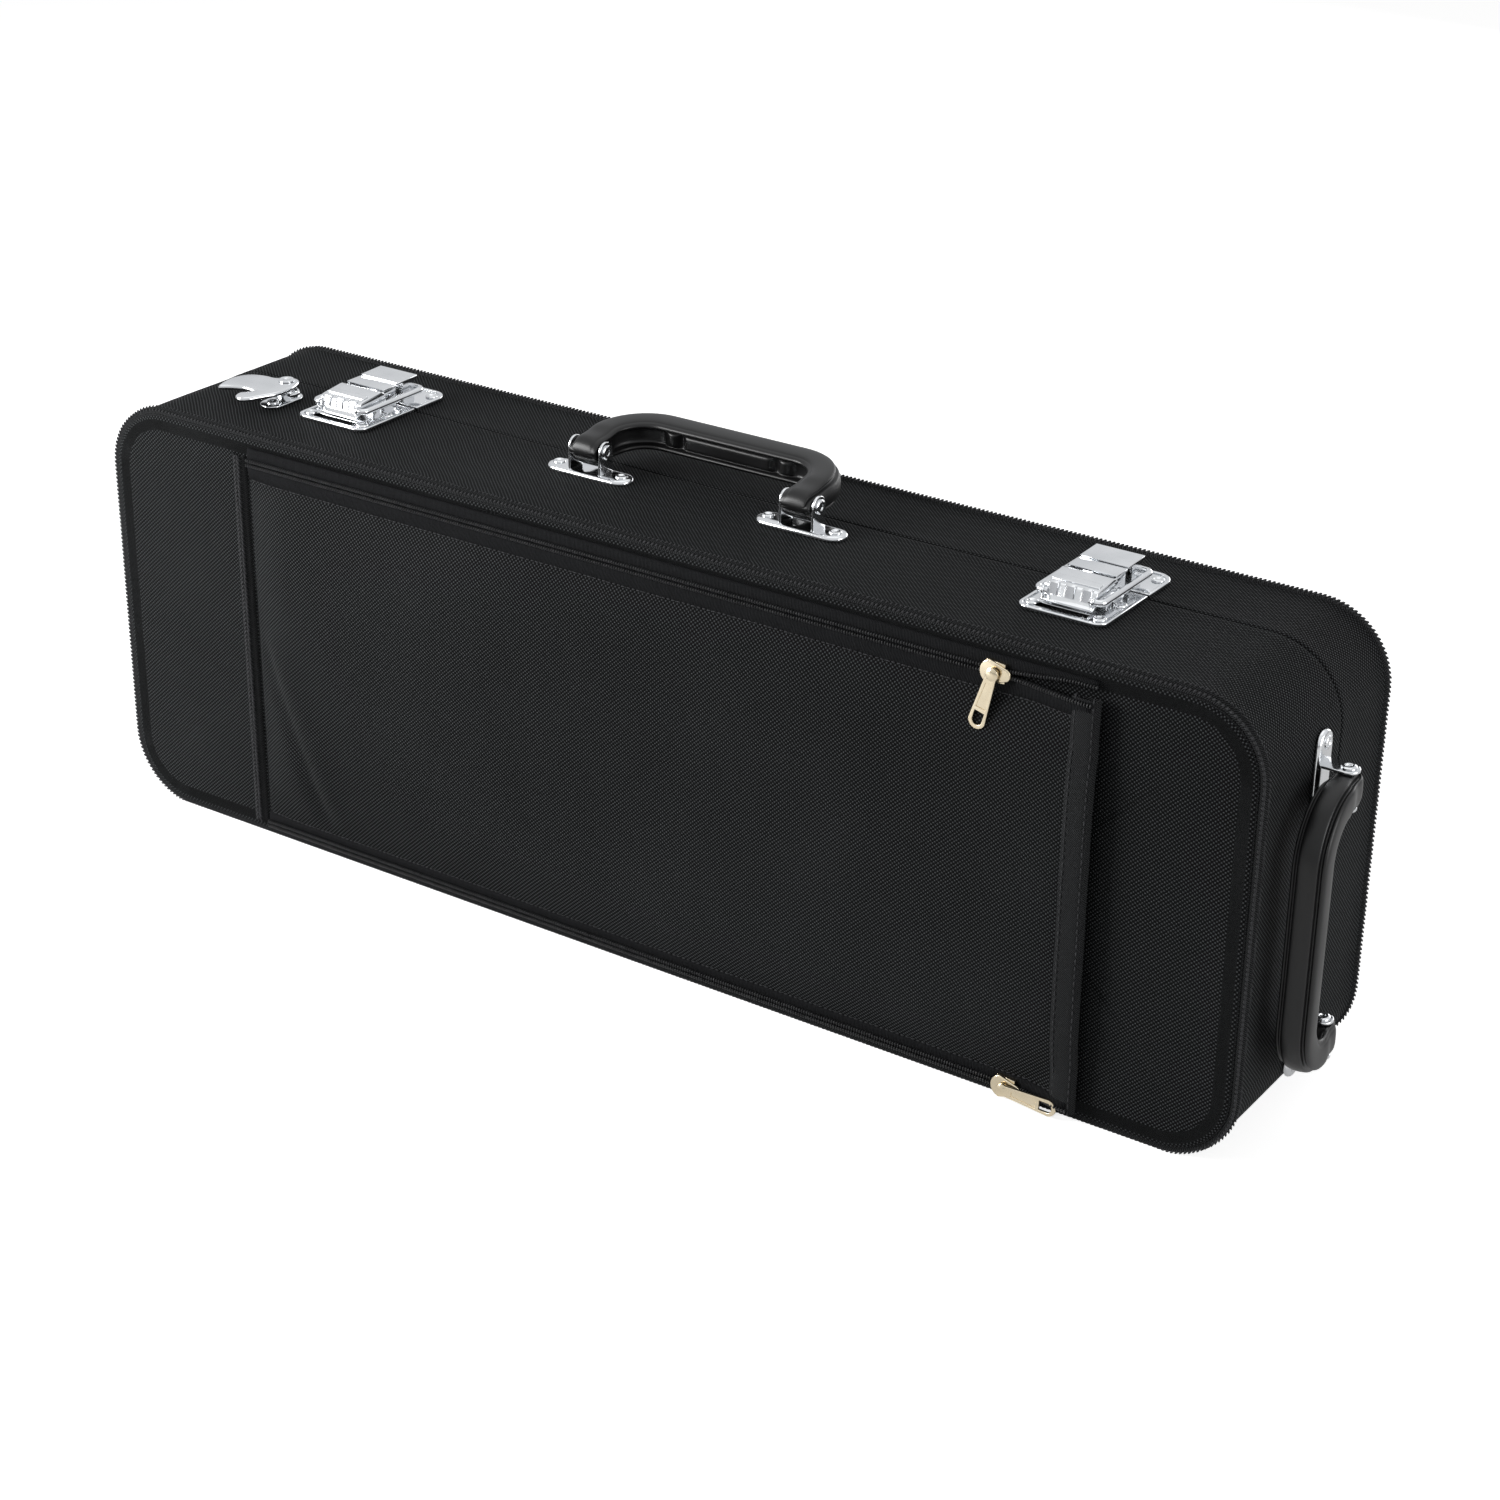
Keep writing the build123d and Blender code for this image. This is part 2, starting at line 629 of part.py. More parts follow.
    # Keeper on the lid: riveted plate with a raised hook that overhangs to the rear
    with BuildPart() as latch_keeper:
        with BuildSketch(level(latch_x, 0, case_height)) as plate:
            with Locations((0, (keeper_side + latch_back) / 2)):
                Rectangle(latch_width, latch_back - keeper_side)
            fillet(plate.vertices().group_by(Axis.Y)[-1], 9)
        extrude(amount=latch_plate)
        with BuildSketch(across(latch_x - hook_half_width, 0, case_height)):
            with BuildLine():
                Polyline(
                    (16, 1),
                    (16, 13.6),
                    (11.7, 13.6),
                    (11.7, 14.6),
                    (28.2, lid_hook_top),
                    (28.2, 13.8),
                    (hook_rear_wall, 12.4),
                    (hook_rear_wall, 1),
                    close=True,
                )
            make_face()
        extrude(amount=2 * hook_half_width)
        with Locations(*[(x, y, case_height) for x, y in keeper_rivets if abs(x - latch_x) < latch_width]):
            Cylinder(rivet_radius + running_clearance, 10, mode=Mode.SUBTRACT)
    latch_keeper.part.label = f"{side}_latch_keeper"
    export_step(latch_keeper.part, f"parts/{side}_latch_keeper.step")

# Lever pins, fixed in the lugs of the latch bases
with BuildPart() as latch_pins:
    pin_places = [(x, lever_pivot_y, case_height + lever_pivot_h) for x in latch_centres.values()]
    with Locations(*[Location(place, (0, 90, 0)) for place in pin_places]):
        Cylinder(lever_pin_radius, 2 * lever_half_width)
latch_pins.part.label = "latch_pins"
export_step(latch_pins.part, "parts/latch_pins.step")

# Domed rivets of the latch plates
plate_rivets = {
    "latch_base_rivets": (latch_rivets, base_inside),
    "latch_keeper_rivets": (keeper_rivets, lid_inside),
}
for name, (points, grip) in plate_rivets.items():
    with BuildPart() as rivets:
        with Locations(*[(x, y, case_height + latch_plate) for x, y in points]):
            Cylinder(rivet_radius, grip + latch_plate, align=(Align.CENTER, Align.CENTER, Align.MAX))
            Cone(rivet_head_radius, 1.6, rivet_head_height, align=(Align.CENTER, Align.CENTER, Align.MIN))
    rivets.part.label = name
    export_step(rivets.part, f"parts/{name}.step")

# Strap hook: an oval riveted foot with a stepped boss, and a claw that swivels on it
boss_top = hook_low
with BuildPart() as strap_hook_base:
    with BuildSketch(level(-270, -17, case_height)):
        SlotOverall(28, 14, rotation=90)
    extrude(amount=latch_plate)
    with BuildSketch(level(hook_x, hook_y, case_height)):
        Circle(7)
    extrude(amount=4)
    with BuildSketch(level(hook_x, hook_y, case_height)):
        Circle(5.5)
    extrude(amount=boss_top - 0.1)
    with BuildSketch(level(hook_x, hook_y, case_height)):
        Circle(3)
    extrude(amount=boss_top + hook_thickness + 0.2)
    with BuildSketch(level(hook_x, hook_y, case_height + boss_top + hook_thickness + 0.1)):
        Circle(4.4)
    extrude(amount=1.2)
    with Locations((hook_rivet[0], hook_rivet[1], case_height)):
        Cylinder(rivet_radius + running_clearance, 10, mode=Mode.SUBTRACT)
strap_hook_base.part.label = "strap_hook_base"
export_step(strap_hook_base.part, "parts/strap_hook_base.step")

with BuildPart() as strap_hook_rivet:
    with Locations((hook_rivet[0], hook_rivet[1], case_height + latch_plate)):
        Cylinder(rivet_radius, base_inside + latch_plate, align=(Align.CENTER, Align.CENTER, Align.MAX))
        Cone(rivet_head_radius, 1.6, rivet_head_height, align=(Align.CENTER, Align.CENTER, Align.MIN))
strap_hook_rivet.part.label = "strap_hook_rivet"
export_step(strap_hook_rivet.part, "parts/strap_hook_rivet.step")

# The claw's outline, measured from its swivel: eye, back of the jaw, tip, mouth and prong
with BuildPart() as strap_hook:
    with BuildSketch(level(hook_x, hook_y, case_height + hook_low)) as claw:
        with BuildLine():
            Spline((-6.5, 3.5), (-9, 0.5), (-16.5, 0.4), (-24.5, -3), (-28.5, -11), (-28, -20), (-25, -28))
            Spline((-25, -28), (-19.5, -23.5), (-12, -20.6), (-3, -20.8))
            Spline((-3, -20.8), (-5.5, -25), (-8.5, -28.5))
            Spline((-8.5, -28.5), (-7, -33.5), (-3, -35.5), (1.5, -33.4), (5, -26), (8.2, -18.5), (8.8, -11), (8.2, -3))
            Spline((8.2, -3), (5, 4.8), (0, 7), (-4.5, 5.8), (-6.5, 3.5))
        make_face()
        fillet(claw.vertices().sort_by(Axis.X)[0], 1.6)
    extrude(amount=hook_thickness)
    with Locations((hook_x, hook_y, case_height + hook_low)):
        Cylinder(3 + running_clearance, 20, mode=Mode.SUBTRACT)
strap_hook.part.label = "strap_hook"
export_step(strap_hook.part, "parts/strap_hook.step")


def sleeve(standoff, grow, right):
    """Flat-topped pillow that stands off the front face, closed on three sides and square at the right."""
    with BuildPart() as pillow:
        for lift, inset_x, inset_z in ((0, 0, 0), (standoff, flap_side_slope, flap_slope)):
            left = flap_left - grow + inset_x
            low = flap_bottom - grow + inset_z
            high = flap_top + grow - inset_z
            with BuildSketch(Plane(origin=(0, front_y - lift, 0), x_dir=(1, 0, 0), z_dir=(0, -1, 0))):
                with Locations(((left + right) / 2, (low + high) / 2)):
                    Rectangle(right - left, high - low)
        loft()
    return pillow.part


# Sleeve that hides the shoulder straps: cloth over foam, open at its right end
flap_outside = sleeve(flap_standoff, 0, flap_right)
flap_inside = sleeve(flap_standoff - flap_thickness, -3, flap_right + 3)
with BuildPart() as flap:
    add(flap_outside)
    add(flap_inside, mode=Mode.SUBTRACT)
flap.part.label = "flap"
export_step(flap.part, "parts/flap.step")

# Twill binding over the sleeve's free edge, and the strip that covers its sewn left edge
binding_outside = sleeve(flap_standoff + binding_thickness, 1, flap_right + binding_thickness)
with BuildPart() as flap_edge_binding:
    add(binding_outside)
    add(flap_outside, mode=Mode.SUBTRACT)
    add(flap_inside, mode=Mode.SUBTRACT)
    with Locations((flap_right, front_y, (flap_bottom + flap_top) / 2)):
        Box(2 * edge_binding_width, 40, flap_top - flap_bottom, mode=Mode.INTERSECT)
flap_edge_binding.part.label = "flap_edge_binding"
export_step(flap_edge_binding.part, "parts/flap_edge_binding.step")

strip_width = 11
with BuildPart() as flap_left_strip:
    with Locations((flap_left - strip_width / 2, front_y - 0.6, (8 + 226) / 2)):
        Box(strip_width, 1.2, 226 - 8)
flap_left_strip.part.label = "flap_left_strip"
export_step(flap_left_strip.part, "parts/flap_left_strip.step")

# Zippers: tape, coil teeth, slider and puller
tape_left = flap_left
tape_right = flap_right
teeth_outer = front_y - tape_thickness - teeth_height
slider_front = teeth_outer - 2.2
stud_radius = 1.6
puller_back = slider_front - 0.4
for place, (low, high) in tape_span.items():
    z = teeth_z[place]
    x = slider_x[place]
    with BuildPart() as tape:
        with Locations(((tape_left + tape_right) / 2, front_y - tape_thickness / 2, (low + high) / 2)):
            Box(tape_right - tape_left, tape_thickness, high - low)
    tape.part.label = f"{place}_zipper_tape"
    export_step(tape.part, f"parts/{place}_zipper_tape.step")

    # Both rows of teeth are closed up to the slider; past it only the row on the case's side is left
    outer_row = 1 if place == "top" else -1
    with BuildPart() as teeth:
        with Locations(((tape_left + x) / 2, front_y - tape_thickness - teeth_height / 2, z)):
            Box(x - tape_left, teeth_height, teeth_width)
        with Locations(((x + tape_right) / 2, teeth_outer + teeth_height / 2, z + outer_row * teeth_width / 4)):
            Box(tape_right - x, teeth_height, teeth_width / 2)
    teeth.part.label = f"{place}_zipper_teeth"
    export_step(teeth.part, f"parts/{place}_zipper_teeth.step")

    with BuildPart() as slider:
        with BuildSketch(Plane(origin=(x, teeth_outer - 0.4, z), x_dir=(1, 0, 0), z_dir=(0, -1, 0))):
            Ellipse(7, 5.4)
        extrude(amount=1.8)
        for end in ends:
            with Locations((x, teeth_outer + 0.6, z + end * (teeth_width / 2 + 0.9))):
                Box(9, 2.2, 1.2)
        with BuildSketch(Plane(origin=(x, slider_front, z), x_dir=(1, 0, 0), z_dir=(0, -1, 0))):
            Circle(stud_radius)
        extrude(amount=puller_thickness + 1)
        head_y = puller_back - puller_thickness - 0.3
        with BuildSketch(Plane(origin=(x, head_y, z), x_dir=(1, 0, 0), z_dir=(0, -1, 0))):
            Circle(2.7)
        extrude(amount=0.9)
    slider.part.label = f"{place}_zipper_slider"
    export_step(slider.part, f"parts/{place}_zipper_slider.step")

    # Puller: a flat tongue on the slider's stud, with a slot at its free end
    turn = radians(puller_turn[place])
    tongue = Plane(origin=(x, puller_back, z), x_dir=(cos(turn), 0, sin(turn)), z_dir=(0, -1, 0))
    with BuildPart() as puller:
        with BuildSketch(tongue):
            with Locations(((puller_length - 6) / 2, 0)):
                SlotOverall(puller_length, puller_width)
            Circle(stud_radius + 0.08, mode=Mode.SUBTRACT)
            with Locations((puller_length - 11, 0)):
                SlotOverall(8, 4.4, mode=Mode.SUBTRACT)
        extrude(amount=puller_thickness)
    puller.part.label = f"{place}_zipper_puller"
    export_step(puller.part, f"parts/{place}_zipper_puller.step")
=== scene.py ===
from math import cos, dist, exp, pi, radians, sin

import bmesh
import bpy
from mathutils import Matrix, Vector, noise


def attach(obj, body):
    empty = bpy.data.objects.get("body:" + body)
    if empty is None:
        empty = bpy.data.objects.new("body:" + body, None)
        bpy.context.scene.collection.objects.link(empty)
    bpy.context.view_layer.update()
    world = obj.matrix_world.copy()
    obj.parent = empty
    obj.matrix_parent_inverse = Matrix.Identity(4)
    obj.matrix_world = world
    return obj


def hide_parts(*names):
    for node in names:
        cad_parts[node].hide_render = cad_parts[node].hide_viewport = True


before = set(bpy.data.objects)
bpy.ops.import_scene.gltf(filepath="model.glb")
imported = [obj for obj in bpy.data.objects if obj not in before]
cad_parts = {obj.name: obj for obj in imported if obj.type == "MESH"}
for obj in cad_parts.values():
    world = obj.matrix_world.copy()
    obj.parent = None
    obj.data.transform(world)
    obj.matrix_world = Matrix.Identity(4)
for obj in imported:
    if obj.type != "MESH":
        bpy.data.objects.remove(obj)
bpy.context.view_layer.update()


# The view of the photograph: a long lens held a little above the case and turned toward its right end.
# Where it stands comes from fitting a pinhole camera to the case's outline in the photograph
def shown(name, data):
    """A new object in the scene, at the origin and unturned."""
    obj = bpy.data.objects.new(name, data)
    bpy.context.scene.collection.objects.link(obj)
    return obj


eye = bpy.data.cameras.new("photo_camera")
eye.lens = 73.5
eye.sensor_width = 36
eye.clip_start = 0.01
photo_camera = shown("photo_camera", eye)
photo_camera.location = (0.839172, -1.192293, 0.796690)
photo_camera.rotation_euler = [radians(angle) for angle in (64.3133, -0.6380, 34.4209)]
bpy.context.scene.camera = photo_camera
bpy.context.scene.view_settings.view_transform = "Standard"


# A white sweep of paper under soft boxes. The room is white to the camera and to polished metal,
# with a darker band low down that gives the chrome its dark edges
class Wire:
    """A node's output that takes part in arithmetic: each operator, either way round, adds one Math node."""

    def __init__(self, tree, socket):
        self.tree = tree
        self.socket = socket

    def math(self, operation, first, second=None):
        node = self.tree.nodes.new("ShaderNodeMath")
        node.operation = operation
        for place, value in enumerate([first] if second is None else [first, second]):
            if isinstance(value, Wire):
                self.tree.links.new(value.socket, node.inputs[place])
            else:
                node.inputs[place].default_value = value
        return Wire(self.tree, node.outputs[0])


operations = (
    ("add", "ADD"), ("sub", "SUBTRACT"), ("mul", "MULTIPLY"), ("truediv", "DIVIDE"), ("pow", "POWER"),
)
for sign, operation in operations:
    setattr(Wire, f"__{sign}__", lambda self, other, kind=operation: self.math(kind, self, other))
    setattr(Wire, f"__r{sign}__", lambda self, other, kind=operation: self.math(kind, other, self))


class Finish:
    """A node tree being wired up: a material with its surface shader, or the world."""

    def __init__(self, name, owner=None):
        self.owner = owner or bpy.data.materials.new(name)
        self.owner.use_nodes = True
        self.tree = self.owner.node_tree
        self.tree.nodes.clear()

    def node(self, kind, settings=None, inputs=None):
        """Adds a node: its settings come first, then the values or links of its sockets."""
        node = self.tree.nodes.new(kind)
        for name, value in (settings or {}).items():
            if name == "stops":
                ramp = node.color_ramp.elements
                while len(ramp) < len(value):
                    ramp.new(0.5)
                for element, (position, color) in zip(ramp, value):
                    element.position = position
                    element.color = (*color, 1)
            else:
                setattr(node, name, value)
        for name, value in (inputs or {}).items():
            if isinstance(value, Wire):
                self.tree.links.new(value.socket, node.inputs[name])
            elif value is not None:
                node.inputs[name].default_value = value
        return {out.name: Wire(self.tree, out) for out in node.outputs if out.enabled}

    def grain(self, scale, detail=2.0, distortion=0.0):
        """Uneven spots that stay with the piece, from 0 to 1."""
        place = self.node("ShaderNodeTexCoord")["Object"]
        inputs = {"Vector": place, "Scale": scale, "Detail": detail, "Distortion": distortion}
        return self.node("ShaderNodeTexNoise", inputs=inputs)["Fac"]

    def ramp(self, factor, *stops):
        """Colours along a factor, from stops of (position, colour)."""
        return self.node("ShaderNodeValToRGB", {"stops": stops}, {"Fac": factor})["Color"]

    def bump(self, height, distance, strength):
        inputs = {"Strength": strength, "Distance": distance, "Height": height}
        return self.node("ShaderNodeBump", inputs=inputs)["Normal"]

    def surface(self, color, rough, normal, specular, others=None):
        """The finished surface: a Principled shader led to the output."""
        inputs = {"Base Color": color, "Roughness": rough, "Normal": normal, "Specular IOR Level": specular}
        shader = self.node("ShaderNodeBsdfPrincipled", inputs={**inputs, **(others or {})})
        self.node("ShaderNodeOutputMaterial", inputs={"Surface": shader["BSDF"]})
        return self.owner


world = bpy.data.worlds.new("studio")
bpy.context.scene.world = world
room = Finish("studio", world)
rays = room.node("ShaderNodeLightPath")
sight = room.node("ShaderNodeTexCoord")["Generated"]
height = room.node("ShaderNodeSeparateXYZ", inputs={"Vector": sight})["Z"]
walls = room.ramp(
    height * 0.5 + 0.5,
    (0.0, (0.10, 0.10, 0.11)), (0.48, (0.16, 0.16, 0.17)), (0.55, (0.66, 0.67, 0.69)),
    (0.9, (0.86, 0.87, 0.88)),
)
white = (1, 1, 1, 1)
lamp_side, metal_side, seen_side = [
    room.node("ShaderNodeBackground", inputs={"Color": color, "Strength": strength})["Background"]
    for color, strength in ((white, 0.20), (walls, 1.0), (white, 1.0))
]
mixed = room.node(
    "ShaderNodeMixShader", inputs={"Fac": rays["Is Glossy Ray"], 1: lamp_side, 2: metal_side},
)["Shader"]
final = room.node(
    "ShaderNodeMixShader", inputs={"Fac": rays["Is Camera Ray"], 1: mixed, 2: seen_side},
)["Shader"]
room.node("ShaderNodeOutputWorld", inputs={"Surface": final})


def soft_box(name, place, size, watts):
    """A square area lamp that faces the middle of the case."""
    lamp = bpy.data.lights.new(name, "AREA")
    lamp.size = size
    lamp.energy = watts
    box = shown(name, lamp)
    box.location = place
    box.rotation_euler = (Vector((0, 0, 0.12)) - Vector(place)).to_track_quat("-Z", "Y").to_euler()


soft_box("key_box", (-1.05, -0.95, 0.7), 0.8, 25)
soft_box("top_box", (-0.2, 0.5, 2.4), 1.8, 3.5)
soft_box("end_box", (1.9, 0.0, 0.6), 1.1, 14)
soft_box("back_box", (0.3, 2.2, 0.3), 1.4, 14)

paper = Finish("white_paper")
paper_rays = paper.node("ShaderNodeLightPath")
lit = paper.node("ShaderNodeBsdfDiffuse", inputs={"Color": (0.82, 0.82, 0.82, 1)})["BSDF"]
seen_glow = paper_rays["Is Camera Ray"] * 0.76 + paper_rays["Is Glossy Ray"] * 0.2
glow = paper.node("ShaderNodeEmission", inputs={"Color": white, "Strength": seen_glow})["Emission"]
both = paper.node("ShaderNodeAddShader", inputs={0: lit, 1: glow})["Shader"]
paper.node("ShaderNodeOutputMaterial", inputs={"Surface": both})
sweep = bpy.data.meshes.new("paper_sweep")
paper_reach = 12.0
paper_corners = [(a * paper_reach, b * paper_reach, 0) for a, b in ((-1, -1), (1, -1), (1, 1), (-1, 1))]
sweep.from_pydata(paper_corners, [], [(0, 1, 2, 3)])
paper_sweep = shown("paper_sweep", sweep)
sweep.materials.append(paper.owner)


# Covers of the base and the lid: coarse woven black nylon, glued over the shells and turned in at the rims.
# The cloth is drawn round the oblong outline, dips a little where it isn't stretched, and its weave
# runs on a UV map that is measured in metres along the cloth
half_long = 0.350
half_high = 0.119
middle_z = 0.119
front = -0.068
back = 0.068
seam = 0.014
rim_gap = 0.0003
corner = 0.038
edge_round = 0.005
hinge_reach = 0.0042
hinge_rise = 0.0009
hinge_slope = 0.818
hinge_zone = 0.0044
wall_start = 0.003


def oblong(inset, steps=10, straight=0.006):
    """Points (x, z, run) round the case's outline, drawn in by an inset; run is the way round outside."""
    points = []
    run = 0.0
    reach = max(corner - inset, 0.0)
    shrink = max(inset - corner, 0.0)
    flat_x = half_long - corner
    flat_z = half_high - corner
    sides = (
        ((1, -1), (1, 1), (1, 0), 0), ((1, 1), (-1, 1), (0, 1), 90), ((-1, 1), (-1, -1), (-1, 0), 180),
        ((-1, -1), (1, -1), (0, -1), 270),
    )
    for (ax, az), (bx, bz), (nx, nz), turn in sides:
        start = Vector((ax * flat_x, az * flat_z))
        end = Vector((bx * flat_x, bz * flat_z))
        length = (end - start).length
        count = max(1, round(length / straight))
        for i in range(count):
            spot = start.lerp(end, i / count)
            points.append((spot.x, spot.y, nx, nz, run + length * i / count))
        run += length
        for i in range(steps):
            angle = radians(turn + 90 * i / steps)
            way = run + corner * radians(90 * i / steps)
            points.append((bx * flat_x, bz * flat_z, cos(angle), sin(angle), way))
        run += corner * pi / 2
    rounded = []
    for x, z, nx, nz, way in points:
        x *= (flat_x - shrink) / flat_x
        z *= (flat_z - shrink) / flat_z
        rounded.append((x + nx * reach, middle_z + z + nz * reach, way))
    return rounded, run


def made_mesh(name, shape):
    """A mesh from what was built, which is then let go."""
    mesh = bpy.data.meshes.new(name)
    shape.to_mesh(mesh)
    shape.free()
    return mesh


def settle(piece, skin, body, node=None):
    """Puts on a skin's material, ties the piece to a body and hides the solid it stands for; a skin is
    (material, slot), and its slot is not used.
    """
    material, slot = skin
    if not piece.data.materials:
        piece.data.materials.append(material)
    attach(piece, body)
    if node:
        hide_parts(node)


def cloth_mesh(name, rows, lay, around=False, flip=False, close=False):
    """Rows of points joined by smooth faces; lay gives (u, v) at a corner's row and place, for a face's."""
    shape = bmesh.new()
    layer = shape.loops.layers.uv.new("cloth")
    verts = [[shape.verts.new(point[:3]) for point in row] for row in rows]
    count = len(rows[0])
    for r in range(len(rows) - 1):
        for i in range(count if around else count - 1):
            j = (i + 1) % count
            corners = [(r, i), (r, j), (r + 1, j), (r + 1, i)]
            if flip:
                corners.reverse()
            face = shape.faces.new([verts[a][b] for a, b in corners])
            face.smooth = True
            for loop, (a, b) in zip(face.loops, corners):
                loop[layer].uv = lay(a, b, r, i)
    if close:
        bmesh.ops.remove_doubles(shape, verts=verts[-1], dist=0.0002)
    return shown(name, made_mesh(name, shape))


def cloth_tube(name, rings, close=False, flip=False):
    """Closed rings of (x, y, z, u, v, whole length) points; a ring's last face ends at its whole length."""
    def lay(a, b, r, i):
        u, v, total = rings[a][b][3:]
        return (total if total and b == 0 and i == len(rings[a]) - 1 else u), v

    return cloth_mesh(name, rings, lay, around=True, flip=flip, close=close)


def cover_rings(profile, face_y, side):
    """Rings of a cover: the wall's from a profile of (inset, y), then the face's, down to a line."""
    rings = []
    run_v = 0.0
    last = None
    for inset, y, slack in profile:
        if last:
            run_v += dist(last, (inset, y))
        last = (inset, y)
        points, total = oblong(inset)
        ring = []
        for number, (x, z, way) in enumerate(points):
            ahead, behind = points[(number + 1) % len(points)], points[number - 1]
            outward = Vector((ahead[1] - behind[1], behind[0] - ahead[0]))
            if outward.dot(Vector((x, z - middle_z))) < 0:
                outward.negate()
            wave = noise.noise(Vector((x * 9, y * 14, z * 9)) + Vector((side * 3.1, 0, 0)))
            lean = outward.normalized() * slack * (0.0003 + 0.0004 * wave)
            z_here = z - lean.y
            if abs(y - seam) < hinge_zone:
                z_here = max(z_here, hinge_rise + (hinge_reach - abs(y - seam)) * hinge_slope)
            ring.append((x - lean.x, y, z_here, way, run_v, total))
        rings.append(ring)
    for step in range(1, 14):
        inset = edge_round + (half_high - edge_round) * (step / 13) ** 1.15
        points, _ = oblong(min(inset, half_high - 0.00001))
        ring = []
        for x, z, way in points:
            lift = 0.0006 * noise.noise(Vector((x * 7, 4 + side, z * 7))) * min(1.0, step / 3)
            ring.append((x, face_y - side * abs(lift), z, x, z + 0.5, 0))
        rings.append(ring)
    return rings


def weave_cloth(name, dark, light, wide, high, shine, depth):
    """Plain weave of thick threads: the warp lies over in every second cell of a chequer."""
    cloth = Finish(name)
    place = cloth.node("ShaderNodeUVMap", {"uv_map": "cloth"})["UV"]
    axes = cloth.node("ShaderNodeSeparateXYZ", inputs={"Vector": place})
    drift = cloth.grain(22.0)
    wander = cloth.grain(140.0, 1.0)
    across = axes["X"] / wide + (drift - 0.5) * 1.6 + (wander - 0.5) * 0.4
    along = axes["Y"] / high + (drift - 0.5) * 0.9 + (wander - 0.5) * 0.3
    chequer = across.math("SINE", across * pi) * along.math("SINE", along * pi)
    thread = (chequer * 0.5 + 0.5) ** 3.6
    patches = cloth.grain(7.0, 3.0)
    fuzz = cloth.grain(1600.0, 1.0)
    # Colour: painted highlight on the threads on top, painted shade between them, uneven patches and fuzz
    tone_and_painted_light = thread * 0.88 + fuzz * 0.10 + (patches - 0.5) * 0.16
    color = cloth.ramp(tone_and_painted_light, (0.06, dark), (0.95, light))
    rough = 0.8 - thread * (0.8 - shine)
    relief = cloth.bump(thread + fuzz * 0.15, depth, 1.0)
    return cloth.surface(color, rough, relief, 0.08)


# The dark colour is the black cloth in painted shade between threads, the light one a painted highlight on
# top
nylon = (weave_cloth(
    "ballistic_nylon", (0.0005, 0.0006, 0.0007), (0.088, 0.094, 0.098),
    wide=0.00118, high=0.00108, shine=0.52, depth=0.00035,
), "nylon_cloth")

rim_turn = ((0.0013, rim_gap), (0.0009, rim_gap), (0.0003, 0.0006), (0, 0.0016))
for body, side, face_y, wall, count in (("base", -1, front, 0.0745, 17), ("lid", 1, back, 0.0465, 11)):
    section = [(inset, seam + side * off, 0) for inset, off in rim_turn]
    for step in range(count + 1):
        y = seam + side * wall_start + side * wall * step / count
        section.append((0, y, min(1.0, step / 2, (count - step) / 2)))
    for a in (radians(18 * step) for step in range(1, 6)):
        section.append((edge_round * (1 - cos(a)), face_y - side * edge_round * (1 - sin(a)), 0))
    cloth = cloth_tube(body + "_cloth", cover_rings(section, face_y, side), close=True, flip=side > 0)
    settle(cloth, nylon, body, body + "_cover")


# Bindings: ribbed twill tape folded over a piping cord and sewn down along both sides,
# round the front edge of the base and round the back edge of the lid
def twill_tape(name, dark=(0.0010, 0.0010, 0.0011), light=(0.052, 0.054, 0.056), rib=0.0011, lean=0.8):
    """Narrow tape with fine slanting ribs, a little hairy and uneven."""
    tape = Finish(name)
    place = tape.node("ShaderNodeUVMap", {"uv_map": "cloth"})["UV"]
    axes = tape.node("ShaderNodeSeparateXYZ", inputs={"Vector": place})
    wander = tape.grain(260.0)
    slant = (axes["X"] + axes["Y"] * lean) / rib + (wander - 0.5) * 1.1
    ribs = slant.math("SINE", slant * (2 * pi)) * 0.5 + 0.5
    fuzz = tape.grain(1900.0)
    # Colour: painted highlight on the ribs' crowns, painted shade in the grooves, and uneven fuzz
    tone_and_painted_light = ribs * 0.6 + fuzz * 0.45 - 0.05
    color = tape.ramp(tone_and_painted_light, (0.1, dark), (0.95, light))
    relief = tape.bump(ribs + fuzz * 0.7, 0.0003, 0.8)
    return tape.surface(color, 0.88 - ribs * 0.1, relief, 0.06)


def spotted(name, scale, dark, light, rough, uneven, specular):
    """Thread or plastic whose colour and gloss change in small spots."""
    finish = Finish(name)
    spots = finish.grain(scale)
    color = finish.ramp(spots, (0.3, dark), (0.7, light))
    return finish.surface(color, spots * uneven + rough, None, specular)


twill = (twill_tape("twill_tape"), "twill_binding")
black_thread = spotted("black_thread", 900.0, (0.007, 0.007, 0.008), (0.034, 0.035, 0.038), 0.62, 0.1, 0.3)
right, away, up = (1, 0, 0), (0, 1, 0), (0, 0, 1)


def plain_mesh(obj):
    """An object's shape with its curve's bevel or its modifiers worked out."""
    return bpy.data.meshes.new_from_object(obj.evaluated_get(bpy.context.evaluated_depsgraph_get()))


def drawn(name, lines, closed, **settings):
    """A curve object of straight lines through points in metres."""
    sketch = bpy.data.curves.new(name, "CURVE")
    for key, value in settings.items():
        setattr(sketch, key, value)
    for spots in lines:
        line = sketch.splines.new("POLY")
        line.points.add(len(spots) - 1)
        for point, spot in zip(line.points, spots):
            point.co = (*spot, 1)
        line.use_cyclic_u = closed
    return shown(name, sketch)


